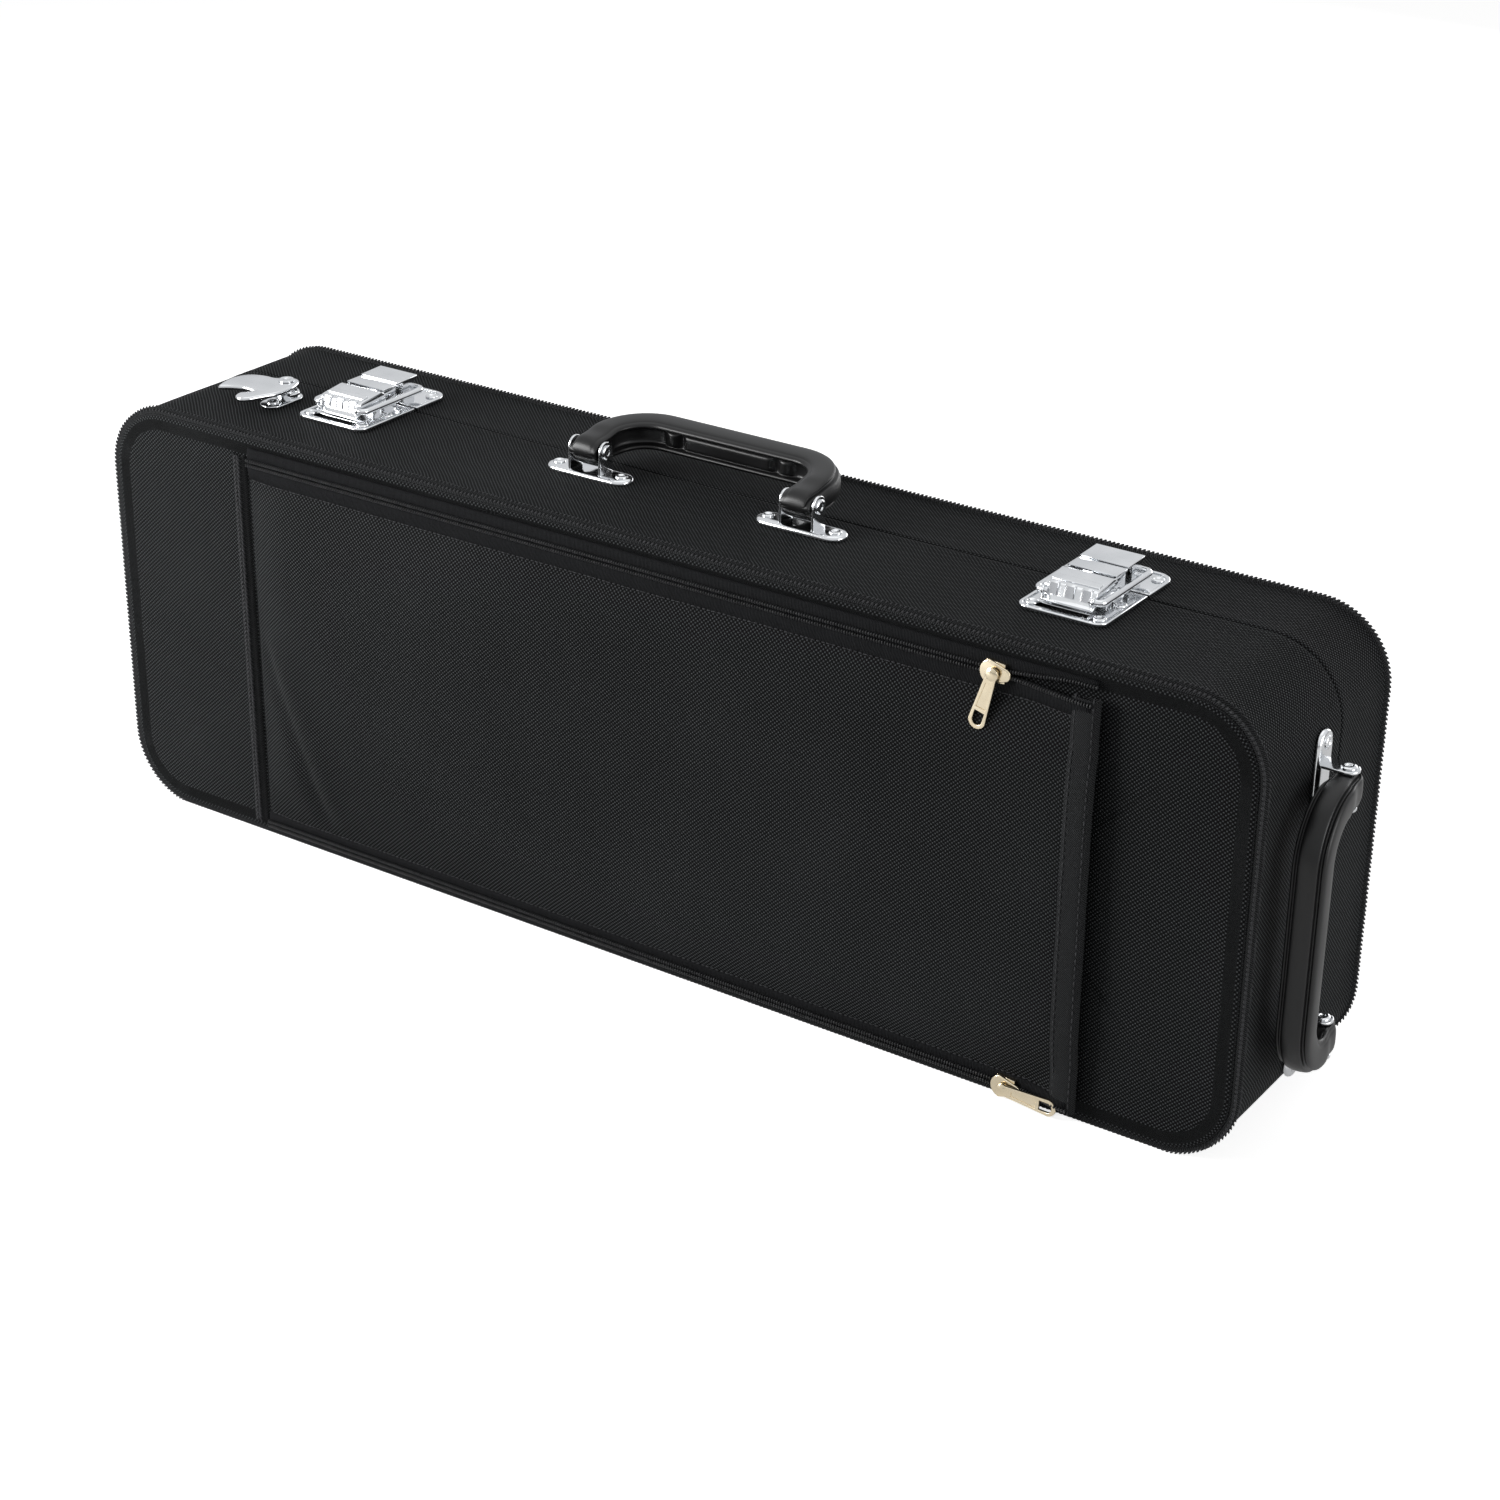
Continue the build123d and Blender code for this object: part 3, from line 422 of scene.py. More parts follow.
def repeated(name, carrier, model, skin, body, node=None, spacing=None, facing=None):
    """Geometry Nodes: a small shape every so far along a line, or at every point and facing one way."""
    tree = bpy.data.node_groups.new(name + "_nodes", "GeometryNodeTree")
    label, kind, value = ("Spacing", "Float", spacing) if spacing else ("Facing", "Vector", facing)
    tree.interface.new_socket("Geometry", in_out="INPUT", socket_type="NodeSocketGeometry")
    setting = tree.interface.new_socket(label, in_out="INPUT", socket_type="NodeSocket" + kind)
    shape = tree.interface.new_socket("Model", in_out="INPUT", socket_type="NodeSocketObject")
    tree.interface.new_socket("Geometry", in_out="OUTPUT", socket_type="NodeSocketGeometry")
    inside, info, place, real, paint, outside = [tree.nodes.new(kind) for kind in (
        "NodeGroupInput", "GeometryNodeObjectInfo", "GeometryNodeInstanceOnPoints",
        "GeometryNodeRealizeInstances", "GeometryNodeSetMaterial", "NodeGroupOutput",
    )]
    paint.inputs["Material"].default_value = skin[0]
    if spacing:
        aim = tree.nodes.new("GeometryNodeCurveToPoints")
        aim.mode = "LENGTH"
        start = (
            (inside, "Geometry", aim, "Curve"), (inside, label, aim, "Length"),
            (aim, "Points", place, "Points"),
        )
    else:
        aim = tree.nodes.new("FunctionNodeAlignRotationToVector")
        aim.axis = "Z"
        start = ((inside, "Geometry", place, "Points"), (inside, label, aim, "Vector"))
    for source, out, target, into in start + (
        (aim, "Rotation", place, "Rotation"),
        (inside, "Model", info, "Object"),
        (info, "Geometry", place, "Instance"),
        (place, "Instances", real, "Geometry"),
        (real, "Geometry", paint, "Geometry"),
        (paint, "Geometry", outside, "Geometry"),
    ):
        tree.links.new(source.outputs[out], target.inputs[into])
    maker = carrier.modifiers.new("repeat", "NODES")
    maker.node_group = tree
    maker[setting.identifier] = value
    maker[shape.identifier] = model
    mesh = plain_mesh(carrier)
    mesh.name = name
    bpy.data.objects.remove(carrier)
    bpy.data.objects.remove(model)
    settle(shown(name, mesh), skin, body, node)


def beads_along(name, path, pitch, bead, skin, body, node=None, closed=False):
    """One bead every pitch along a line of points, turned to lie along it."""
    line = drawn(name + "_line", [path], closed, dimensions="3D")
    repeated(name, line, shown("bead", bead), skin, body, node, spacing=pitch)


def lofted(rings):
    """Rings of points joined into one closed body: smooth round its side, flat at both ends."""
    shape = bmesh.new()
    rows = [[shape.verts.new(spot) for spot in ring] for ring in rings]
    around = len(rows[0])
    for low, high in zip(rows, rows[1:]):
        for i in range(around):
            shape.faces.new((low[i], low[(i + 1) % around], high[(i + 1) % around], high[i])).smooth = True
    shape.faces.new(list(reversed(rows[0])))
    shape.faces.new(rows[-1])
    return shape


def stitches(name, path, pitch, long, thick, slot, body="base", lean=0.0, about=right, closed=False):
    """A row of plump stitches along a line, each diving into the cloth at its ends, in line or leaning."""
    rings = []
    for share, girth in ((-0.5, 0.35), (-0.3, 0.9), (0.0, 1.0), (0.3, 0.9), (0.5, 0.35)):
        radius = thick / 2 * girth
        rings.append([(radius * cos(a), radius * sin(a), share * long) for a in (0.4, 1.97, 3.54, 5.11)])
    shape = lofted(rings)
    bmesh.ops.rotate(shape, verts=shape.verts, matrix=Matrix.Rotation(lean, 3, about))
    beads_along(name, path, pitch, made_mesh("stitch", shape), (black_thread, slot), body, closed=closed)


def edge_line(swing, proud, side):
    """The line round a face's rounded edge, at an angle from the face's plane and a height above the edge."""
    reach = edge_round + proud
    inset = edge_round - reach * sin(radians(swing))
    face_y = front if side < 0 else back
    y = face_y - side * edge_round + side * reach * cos(radians(swing))
    points, total = oblong(inset)
    return [(x, y, z, way, total) for x, z, way in points]


# Across the tape: angle round the edge in degrees, and height above it
piping_profile = [
    (20, -0.0006), (29, 0.0002), (36, -0.0003), (43, 0.0010), (52, 0.0016), (61, 0.0011), (68, 0.0001),
    (75, 0.0008), (85, 0.0010), (95, 0.0003), (102, -0.0006),
]
tape_step = 0.0009
# Rows of stitches: name, angle, height, pitch, length, thickness and lean
piping_rows = (
    ("rope", 52, 0.0011, 0.0024, 0.0036, 0.0015, 0.75),
    ("seam", 85, 0.0008, 0.0026, 0.0030, 0.0011, 0.7),
)
for side, body in ((-1, "base"), (1, "lid")):
    rings = []
    for number, (swing, proud) in enumerate(piping_profile):
        run_v = number * tape_step
        rings.append([(x, y, z, way, run_v, total) for x, y, z, way, total in edge_line(swing, proud, side)])
    binding = cloth_tube(body + "_piping", rings, flip=side < 0)
    settle(binding, twill, body, body + "_binding")
    for row, swing, proud, pitch, long, thick, lean in piping_rows:
        path = [point[:3] for point in edge_line(swing, proud, side)]
        about = (sin(radians(swing)), side * cos(radians(swing)), 0)
        name = f"{body}_piping_{row}_stitches"
        stitches(name, path, pitch, long, thick, "twill_binding", body, lean, about, closed=True)


# Strap sleeve: a panel of the same nylon over thin foam, sewn to the front face along its left side and
# zipped along the top and the bottom. Past the two sliders it is unzipped, so its right end gapes open
flap_left = -0.248
flap_right = 0.270
flap_low = 0.011
flap_high = 0.219
flap_lift = 0.008
foam = 0.0016
slider_top = 0.215
slider_bottom = 0.232
crease_x, crease_z = -0.222, 0.072
crease_way = (0.92, 0.385)


def ease(t):
    """Smooth step from 0 to 1."""
    t = min(1.0, max(0.0, t))
    return t * t * (3 - 2 * t)


def sleeve_lift(x, z):
    """How far the sleeve stands off the front face."""
    up = min(1.0, max(0.0, (flap_high - z) / 0.040))
    down = min(1.0, max(0.0, (z - flap_low) / 0.040))
    side = min(1.0, max(0.0, (x - flap_left) / 0.030))
    free_top = 0.80 * ease((x - slider_top) / 0.050)
    free_low = 0.80 * ease((x - slider_bottom) / 0.036)
    top = max(sin(up * pi / 2) ** 0.8, free_top)
    bottom = max(sin(down * pi / 2) ** 0.8, free_low)
    lift = flap_lift * top * bottom * sin(side * pi / 2) ** 0.8
    waves = 0.0011 * noise.noise(Vector((x * 11, 1.7, z * 9)))
    waves += 0.0005 * noise.noise(Vector((x * 34, 5.2, z * 30)))
    off = (x - crease_x) * crease_way[0] + (z - crease_z) * crease_way[1]
    reach = (x - crease_x) * crease_way[1] - (z - crease_z) * crease_way[0]
    crease = exp(-((off / 0.0050) ** 2)) - 0.55 * exp(-(((off - 0.0115) / 0.0075) ** 2))
    fold = crease * (1 - ease((abs(reach) - 0.038) / 0.030))
    return lift + (waves - 0.0023 * fold) * min(1.0, lift / 0.004)


def spread(start, end, count):
    """Evenly spaced values from start to end."""
    return [start + (end - start) * step / count for step in range(count + 1)]


panel = [
    [(x, front - sleeve_lift(x, z) - 0.0002, z) for x in spread(flap_left, flap_right, 150)]
    for z in spread(flap_low, flap_high, 66)
]
strap_sleeve = cloth_mesh("strap_sleeve", panel, lambda a, b, r, i: (panel[a][b][0], panel[a][b][2]))
padding = strap_sleeve.modifiers.new("foam", "SOLIDIFY")
padding.thickness = foam
padding.offset = -1
settle(strap_sleeve, nylon, "base", "flap")
for edge, z in (("upper", flap_high - 0.0056), ("lower", flap_low + 0.0034)):
    spots = spread(flap_left + 0.004, flap_right - 0.014, 150)
    path = [(x, front - sleeve_lift(x, z) - 0.0004, z) for x in spots]
    stitches(f"sleeve_{edge}_stitches", path, 0.0030, 0.0021, 0.0008, "nylon_cloth")


# Edge binding and left strip of the sleeve: wide twill tapes. The binding is folded over the free right edge,
# the strip covers the sewn left edge, and both are sewn with a row of stitches along each side
def run_lengths(points):
    """The way run at each point of a line."""
    runs = [0.0]
    for a, b in zip(points, points[1:]):
        runs.append(runs[-1] + dist(a, b))
    return runs


def tape_strip(name, rows, flip=False):
    """A strip of cloth from rows of (x, y, z) points, with its UV map in metres along and across it."""
    along = run_lengths([row[0] for row in rows])
    across = [run_lengths(row) for row in rows]
    return cloth_mesh(name, rows, lambda a, b, r, i: (along[a], across[r][b]), flip=flip)


binding_in = flap_right - 0.0135
binding_rows = []
binding_seams = {"near": [], "far": []}
for z in spread(flap_low - 0.004, flap_high + 0.005, 80):
    ripple = 0.0004 * noise.noise(Vector((2.2, 0.4, z * 60)))

    def stand(x, z=z, ripple=ripple):
        """The cloth's outer face under the binding."""
        return front - sleeve_lift(min(x, flap_right), min(max(z, flap_low), flap_high)) - 0.0002 + ripple

    outer = flap_right + 0.0006
    binding_rows.append([
        (binding_in, stand(binding_in) - 0.0001, z),
        (binding_in + 0.0006, stand(binding_in) - 0.0011, z),
        (binding_in + 0.0045, stand(binding_in + 0.0045) - 0.0013, z),
        (outer - 0.0045, stand(outer - 0.0045) - 0.0013, z),
        (outer - 0.0006, stand(outer) - 0.0010, z),
        (outer + 0.0006, stand(outer) + 0.0004, z),
        (outer, stand(outer) + foam + 0.0004, z),
        (outer - 0.004, stand(outer) + foam + 0.0008, z),
        (outer - 0.009, stand(outer) + foam + 0.0006, z),
    ])
    binding_seams["near"].append((binding_in + 0.0022, stand(binding_in) - 0.0013, z))
    binding_seams["far"].append((outer - 0.0022, stand(outer) - 0.0014, z))
settle(tape_strip("mouth_binding", binding_rows), twill, "base", "flap_edge_binding")
for row, path in binding_seams.items():
    stitches(f"mouth_{row}_stitches", path, 0.0040, 0.0028, 0.0009, "twill_binding")

strip_right = flap_left - 0.0018
strip_left = strip_right - 0.0095
strip_rows = []
for z in spread(0.008, 0.226, 90):
    hump = 0.0004 * noise.noise(Vector((z * 55, 8.1, 0.3)))
    humps = (
        (strip_left + 0.0007, 0.0016), (strip_left + 0.0020, 0.0013), (strip_left + 0.0032, 0.0029),
        (strip_left + 0.0048, 0.0034), (strip_left + 0.0064, 0.0029), (strip_right - 0.0019, 0.0013),
        (strip_right - 0.0008, 0.0018),
    )
    raised = [(x, front - proud + hump, z) for x, proud in humps]
    strip_rows.append([(strip_left, front + 0.0004, z), *raised, (strip_right, front + 0.0002, z)])
settle(tape_strip("seam_strip", strip_rows), twill, "base", "flap_left_strip")
for row, x, lean in (("left", strip_left + 0.0037, 0.6), ("right", strip_left + 0.0060, -0.6)):
    path = [(x, front - 0.0031, z) for z in spread(0.009, 0.225, 60)]
    stitches(f"strip_{row}_stitches", path, 0.0024, 0.0036, 0.0013, "twill_binding", lean=lean, about=away)


# Zippers: woven tapes with nylon coils. The row on the case's side is sewn to the front face,
# the row on the sleeve's side goes with the sleeve and leaves the other past the slider
# Its ribs carry the same painted highlight and painted shade as the binding tape
zip_weave = twill_tape("zipper_tape", (0.0008, 0.0008, 0.0009), (0.026, 0.027, 0.029), rib=0.0008, lean=0.0)
zip_tape = (zip_weave, "zipper_tape")
coil_finish = spotted("nylon_coil", 420.0, (0.012, 0.012, 0.013), (0.040, 0.041, 0.043), 0.26, 0.15, 0.5)
nylon_coil = (coil_finish, "zipper_coil")


def coil_bead(wide):
    """One turn of a zipper's coil, seen as a short plump bar across the line it lies on."""
    shape = bmesh.new()
    bmesh.ops.create_uvsphere(shape, u_segments=8, v_segments=5, radius=0.5)
    bmesh.ops.scale(shape, vec=(0.0024, wide, 0.00082), verts=shape.verts)
    for face in shape.faces:
        face.smooth = True
    return made_mesh("coil_turn", shape)


coil_pitch = 0.0015
coil_wide = 0.0022
weave_thick = 0.0006
top_zip_z = 0.2230
bottom_zip_z = 0.0070
for place, line_z, slider_x, sign in (
    ("top", top_zip_z, slider_top, 1), ("bottom", bottom_zip_z, slider_bottom, -1),
):
    span = spread(flap_left, flap_right - 0.003, 150)
    edge = flap_high if sign > 0 else flap_low
    case_tape, case_line, sleeve_tape, sleeve_line = [], [], [], []
    for x in span:
        apart = ease((x - slider_x) / 0.045)
        parting = line_z + sign * (0.0002 + 0.0045 * apart * (sign > 0))
        rim = line_z + sign * (0.0080 if sign > 0 else 0.0034)
        case_proud = 0.0010 * apart
        case_tape.append([
            (x, front + 0.0002, rim), (x, front - 0.0012, rim - sign * 0.0005),
            (x, front - 0.0014 - case_proud, parting),
        ])
        case_line.append((x, front - 0.0021 - case_proud, parting + sign * 0.0011))
        cloth_y = front - sleeve_lift(x, edge)
        sewn = edge - sign * (0.0052 if sign > 0 else 0.0030)
        sewn_y = front - sleeve_lift(x, sewn)
        sleeve_tape.append([
            (x, sewn_y - 0.0004, sewn), (x, cloth_y - 0.0012, edge - sign * 0.0010),
            (x, cloth_y - 0.0014, line_z - sign * 0.0002),
        ])
        sleeve_line.append((x, cloth_y - 0.0021, line_z - sign * 0.0013))
    for half, rows, flip in (("case", case_tape, sign > 0), ("sleeve", sleeve_tape, sign < 0)):
        tape = tape_strip(f"{place}_{half}_tape", rows, flip=flip)
        woven = tape.modifiers.new("woven", "SOLIDIFY")
        woven.thickness = weave_thick
        woven.offset = 0
        settle(tape, zip_tape, "base", f"{place}_zipper_tape" if half == "case" else None)
    for half, path in (("case", case_line), ("sleeve", sleeve_line)):
        node = f"{place}_zipper_teeth" if half == "case" else None
        beads_along(f"{place}_{half}_coil", path, coil_pitch, coil_bead(coil_wide), nylon_coil, "base", node)


# Zipper sliders and pullers: die-cast and plated pale gold. A slider is a shield-shaped body with a domed
# stud, and holds the two rows of coil between its plates. The puller is a tapered tongue with a window
def plated(name, low, high, rough, specks=600.0):
    """Plated metal: its colour and gloss vary slightly, with fine handling marks."""
    metal = Finish(name)
    clouds = metal.grain(60.0, 3.0)
    marks = metal.grain(specks)
    color = metal.ramp(clouds, (0.3, low), (0.7, high))
    relief = metal.bump(marks, 0.0001, 0.03)
    gloss = clouds * (rough[1] - rough[0]) + marks * 0.04 + rough[0]
    return metal.surface(color, gloss, relief, None, {"Metallic": 1.0})


gold = (plated("pale_gold_plating", (0.74, 0.63, 0.44), (0.86, 0.76, 0.58), (0.14, 0.30)), "pale_gold_metal")


def arc(centre, radius, start, end, steps=10):
    """Points of an arc in a plane, angles in degrees."""
    angles = [radians(angle) for angle in spread(start, end, steps)]
    return [(centre[0] + radius * cos(a), centre[1] + radius * sin(a)) for a in angles]


def stamping(name, outlines, thick, bevel):
    """A flat plate with holes and rounded edges, drawn in millimetres, with its back at height 0."""
    lines = [[(a / 1000, b / 1000, 0) for a, b in outline] for outline in outlines]
    holder = drawn(
        name, lines, True, dimensions="2D", fill_mode="BOTH", bevel_resolution=2,
        extrude=(thick / 2 - bevel) / 1000, bevel_depth=bevel / 1000, offset=-bevel / 1000,
    )
    mesh = plain_mesh(holder)
    bpy.data.objects.remove(holder)
    mesh.transform(Matrix.Translation((0, 0, thick / 2000)))
    return mesh


def turned_shape(outline, steps=24):
    """A closed body of revolution about Z, from (radius, height) points in millimetres."""
    angles = [2 * pi * step / steps for step in range(steps)]
    rings = []
    for radius, height in outline:
        rings.append([(radius * cos(a) / 1000, radius * sin(a) / 1000, height / 1000) for a in angles])
    return made_mesh("turned", lofted(rings))


def joined(name, meshes, skin, body, node):
    """One piece from several meshes that are already in place, with its faces pointing outward."""
    whole = bmesh.new()
    for mesh in meshes:
        whole.from_mesh(mesh)
    bmesh.ops.remove_doubles(whole, verts=whole.verts, dist=0.000001)
    bmesh.ops.recalc_face_normals(whole, faces=whole.faces)
    for face in whole.faces:
        face.smooth = True
    mesh = made_mesh(name, whole)
    mesh.set_sharp_from_angle(angle=radians(38))
    settle(shown(name, mesh), skin, body, node)


def placed(mesh, origin, along, facing):
    """Moves a mesh so that its own X runs along a direction and its Z faces another."""
    across_way = Vector(facing).cross(Vector(along))
    turn = Matrix((along, across_way, facing)).transposed().to_4x4()
    mesh.transform(Matrix.Translation(origin) @ turn)
    return mesh


toward_viewer = (0, -1, 0)
teeth_front = front - 0.0034
slider_plate_y = teeth_front + 0.0004
puller_y = teeth_front - 0.0022 - 0.0004
for place, slider_x, line_z, turn in (
    ("top", slider_top, top_zip_z, -105), ("bottom", slider_bottom, bottom_zip_z, -2),
):
    shield = arc((-1.6, 0), 6.4, 105, 255) + arc((5.0, 0), 3.4, -60, 60)
    plate = stamping("slider_plate", [shield], 1.9, 0.7)
    stud = turned_shape(
        [(1.5, 1.2), (1.5, 4.2), (2.9, 4.4), (3.3, 4.8), (3.1, 5.4), (2.2, 5.9), (1.0, 6.1), (0.2, 6.15)]
    )
    placed(plate, (slider_x, slider_plate_y, line_z), right, toward_viewer)
    placed(stud, (slider_x, slider_plate_y + 0.0008, line_z), right, toward_viewer)
    casting = [plate, stud]
    for side in (1, -1):
        lug = [(-5.0, side * 3.6), (5.0, side * 3.0), (5.0, side * 4.8), (-5.0, side * 5.8)]
        flange = stamping("slider_flange", [lug[::side]], 2.4, 0.4)
        casting.append(placed(flange, (slider_x, teeth_front + 0.0021, line_z), right, toward_viewer))
    joined(f"{place}_slider_casting", casting, gold, f"{place}_slider", f"{place}_zipper_slider")
    tongue = arc((0, 0), 3.4, 60, 300) + arc((25.2, 0), 4.6, -80, 80)
    stud_hole = arc((0, 0), 1.75, 0, 324, 9)
    window = [(20.6, -2.6), (20.6, 2.6)] + arc((25.0, 0), 2.7, 75, -75, 8)
    recess = [(5.2, -1.4), (18.6, -2.6), (18.6, 2.6), (5.2, 1.4)]
    lower = stamping("tongue", [tongue, stud_hole, window], 1.1, 0.3)
    upper = stamping("tongue_rim", [tongue, stud_hole, window, recess], 1.6, 0.35)
    way = (cos(radians(turn)), 0, sin(radians(turn)))
    for mesh in (lower, upper):
        placed(mesh, (slider_x, puller_y, line_z), way, toward_viewer)
    joined(f"{place}_puller_tongue", [lower, upper], gold, f"{place}_puller", f"{place}_zipper_puller")


# Carrying handles: moulded from black plastic in one piece. The grip is rounded outside, with grooves along
# its edges, and hollow toward the fingers, with raised pads in it. A round lug at each end takes a pin
rubber = Finish("moulded_black_plastic")
rubber_cloud = rubber.grain(34.0, 4.0)
rubber_grain = rubber.grain(1500.0, 1.0)
rubber_color = rubber.ramp(rubber_cloud, (0.25, (0.003, 0.003, 0.0032)), (0.8, (0.009, 0.009, 0.0094)))
rubber_relief = rubber.bump(rubber_grain, 0.0002, 0.12)
rubber_rough = rubber_cloud * 0.2 + rubber_grain * 0.06 + 0.22
handle_plastic = (rubber.surface(rubber_color, rubber_rough, rubber_relief, 0.4), "handle_plastic")
half_span = 65.5
grip_reach = 36.5
grip_bend = 24.0
pivot_rise = 14.0
rest_tilt = radians(4)
outer_half = [
    (8.6, 0), (8.5, 1.8), (8.2, 3.6), (7.9, 4.6), (7.3, 5.0), (6.2, 4.9), (5.2, 5.4), (5.4, 6.2), (6.3, 6.7),
    (6.1, 7.6), (4.8, 8.3), (2.4, 8.6), (-1.0, 8.6), (-4.0, 8.4), (-5.4, 8.0), (-5.8, 7.5), (-6.4, 7.5),
    (-7.4, 7.2),
]
channel_half = [
    (-8.1, 6.6), (-8.4, 5.8), (-8.1, 5.0), (-7.2, 4.6), (-5.0, 4.4), (-4.4, 3.6), (-4.2, 2.2), (-4.2, 0),
]


def grip_section(open_share, pad, flat):
    """Closed section of the grip in (outward, sideways) millimetres: the hollow fades out toward the lugs."""
    thin = (0.845 + 0.155 * open_share) * flat
    half = [(r, n * thin) for r, n in outer_half]
    for number, (r, n) in enumerate(channel_half):
        floor = r if number < 5 else r + (-7.5 - r) * pad
        half.append((-8.4 + (floor + 8.4) * open_share, n * thin))
    return half + [(r, -n) for r, n in reversed(half[1:-1])]


def moulded_grip(place, origin, pin_way, grip_way, face_way):
    """The grip's mesh: the section is carried from lug to lug round the two bends."""
    stations = []
    for angle in (84, 70, 52, 32, 14):
        a = radians(angle)
        stations.append((half_span, -7.5 * sin(a), 0, 0.0, 0.0, cos(a)))
    straight = grip_reach - grip_bend
    for v in spread(0, straight, 6):
        stations.append((half_span, v, 0, ease((v - 5) / 9), 0.0, 1.0))
    for step in range(1, 13):
        a = 90 * step / 13
        share = ease((straight - 5 + grip_bend * radians(a)) / 9)
        u = half_span - grip_bend + grip_bend * cos(radians(a))
        v = straight + grip_bend * sin(radians(a))
        stations.append((u, v, a, share, 0.0, 1.0))
    run = half_span - grip_bend
    for step in range(23):
        u = run * (1 - step / 22)
        pad = ease((28.5 - u) / 2.5) + ease((u - 31.0) / 1.5) * ease((40.5 - u) / 4.0)
        stations.append((u, grip_reach, 90, 1.0, pad, 1.0))
    mirrored = [(-u, v, 180 - a, share, pad, flat) for u, v, a, share, pad, flat in reversed(stations[:-1])]
    rings = []
    pin_way, grip_way, face_way = Vector(pin_way), Vector(grip_way), Vector(face_way)
    for u, v, a, share, pad, flat in stations + mirrored:
        out = pin_way * cos(radians(a)) + grip_way * sin(radians(a))
        spot = Vector(origin) + (pin_way * u + grip_way * v) / 1000
        rings.append([spot + (out * r + face_way * n) / 1000 for r, n in grip_section(share, pad, flat)])
    shape = lofted(rings)
    bmesh.ops.recalc_face_normals(shape, faces=shape.faces)
    for face in shape.faces:
        face.smooth = True
    grip = shown(f"{place}_grip", made_mesh(f"{place}_grip", shape))
    rounding = grip.modifiers.new("rounding", "SUBSURF")
    rounding.levels = rounding.render_levels = 1
    settle(grip, handle_plastic, f"{place}_handle", f"{place}_handle")


bracket_y = -0.007
end_handle_z = 0.1155
top = 0.238
lean_away, lean_in = cos(rest_tilt), sin(rest_tilt)
top_pin = (0, bracket_y, top + pivot_rise / 1000)
end_pin = (half_long + pivot_rise / 1000, bracket_y, end_handle_z)
moulded_grip("top", top_pin, right, (0, lean_away, lean_in), (0, -lean_in, lean_away))
moulded_grip("end", end_pin, up, (lean_in, -lean_away, 0), (lean_away, lean_in, 0))


# Brackets, pins and rivets of the handles: pressed from sheet steel and chromed. Each foot is domed, with its
# rim turned down on the cloth. Two ears rise from it round the hollow pin, and a rivet holds each of its ends
chrome = (plated("bright_chrome", (0.72, 0.735, 0.75), (0.82, 0.83, 0.845), (0.07, 0.12)), "chrome_plate")
ring_head = [
    (3.3, 0.0), (3.4, 0.5), (3.1, 1.0), (2.5, 1.25), (2.0, 1.15), (1.6, 0.7), (1.2, 0.5), (0.2, 0.45),
]


def rivets(name, places, facing, body, node):
    """The ring-shaped heads of a group of rivets, all facing one way."""
    spots = bpy.data.meshes.new(name + "_places")
    spots.from_pydata(places, [], [])
    carrier = shown(name + "_places", spots)
    repeated(
        name, carrier, shown(name + "_model", turned_shape(ring_head)), chrome, body, node, facing=facing,
    )


def pressed_foot(origin, long_way, up_way):
    """A domed oval foot, 52 by 15 mm, with its rim turned down."""
    rings = []
    rim = ((0.35, 0.0), (0.0, 0.3), (0.0, 1.2), (0.35, 1.9), (1.1, 2.4), (2.6, 2.65), (5.2, 2.7))
    for inset, height in rim:
        radius = 7.5 - inset
        points = arc((18.5, 0), radius, -90, 90, 12) + arc((-18.5, 0), radius, 90, 270, 12)
        rings.append([(a / 1000, b / 1000, height / 1000) for a, b in points])
    return placed(made_mesh("foot", lofted(rings)), origin, long_way, up_way)


def ear(foot, long_way, up_way, offset):
    """One ear of a bracket: a round-topped tongue beside the handle's lug."""
    tongue = [(5.5, 0.8)] + arc((0, pivot_rise), 5.5, 0, 180, 16) + [(-5.5, 0.8)]
    origin = Vector(foot) + Vector(long_way) * offset / 1000
    forward = Vector(up_way).cross(Vector(long_way))
    return placed(stamping("ear", [tongue], 1.5, 0.45), origin, forward, long_way)


pin_half = [
    (0.2, 11.0), (1.4, 11.1), (1.6, 11.5), (2.2, 11.7), (3.3, 11.6), (3.8, 11.2), (3.8, 10.5), (2.5, 10.4),
]
pin_outline = [(radius, -height) for radius, height in pin_half] + list(reversed(pin_half))
spans = (-half_span / 1000, half_span / 1000)
groups = {
    "top": ([(span, bracket_y, top) for span in spans], right, up),
    "end": ([(half_long, bracket_y, end_handle_z + span) for span in spans], up, right),
}
for place, (feet, long_way, up_way) in groups.items():
    pressed = [pressed_foot(foot, long_way, up_way) for foot in feet]
    pressed += [ear(foot, long_way, up_way, offset) for foot in feet for offset in (-10.4, 8.9)]
    joined(f"{place}_pressed_brackets", pressed, chrome, "base", f"{place}_handle_brackets")
    rise = Vector(up_way) * pivot_rise / 1000
    round_pins = [placed(turned_shape(pin_outline), Vector(foot) + rise, up_way, long_way) for foot in feet]
    joined(f"{place}_hollow_pins", round_pins, chrome, "base", f"{place}_handle_pins")
    seat = Vector(up_way) * 0.0024
    places = [Vector(foot) + Vector(long_way) * end * 0.020 + seat for foot in feet for end in (-1, 1)]
    rivets(f"{place}_bracket_rivets", places, up_way, "base", f"{place}_handle_rivets")


# Draw latches: pressed and chromed. The riveted base holds the lever on a pin, the lever pulls the wire bail
# over the keeper's hook on the lid, and the keeper's own plate is riveted on the other side of the seam
def profile(outline, start, end, bevel):
    """A shape drawn across the case in (back, up) millimetres from its top, and carried along to an end."""
    return placed(stamping("profile", [outline], end - start, bevel), (start / 1000, 0, top), away, right)


def flat_plate(outlines, x, y, thick, bevel):
    """A plate that lies on the top of the case."""
    return placed(stamping("plate", outlines, thick, bevel), (x / 1000, y / 1000, top), right, up)


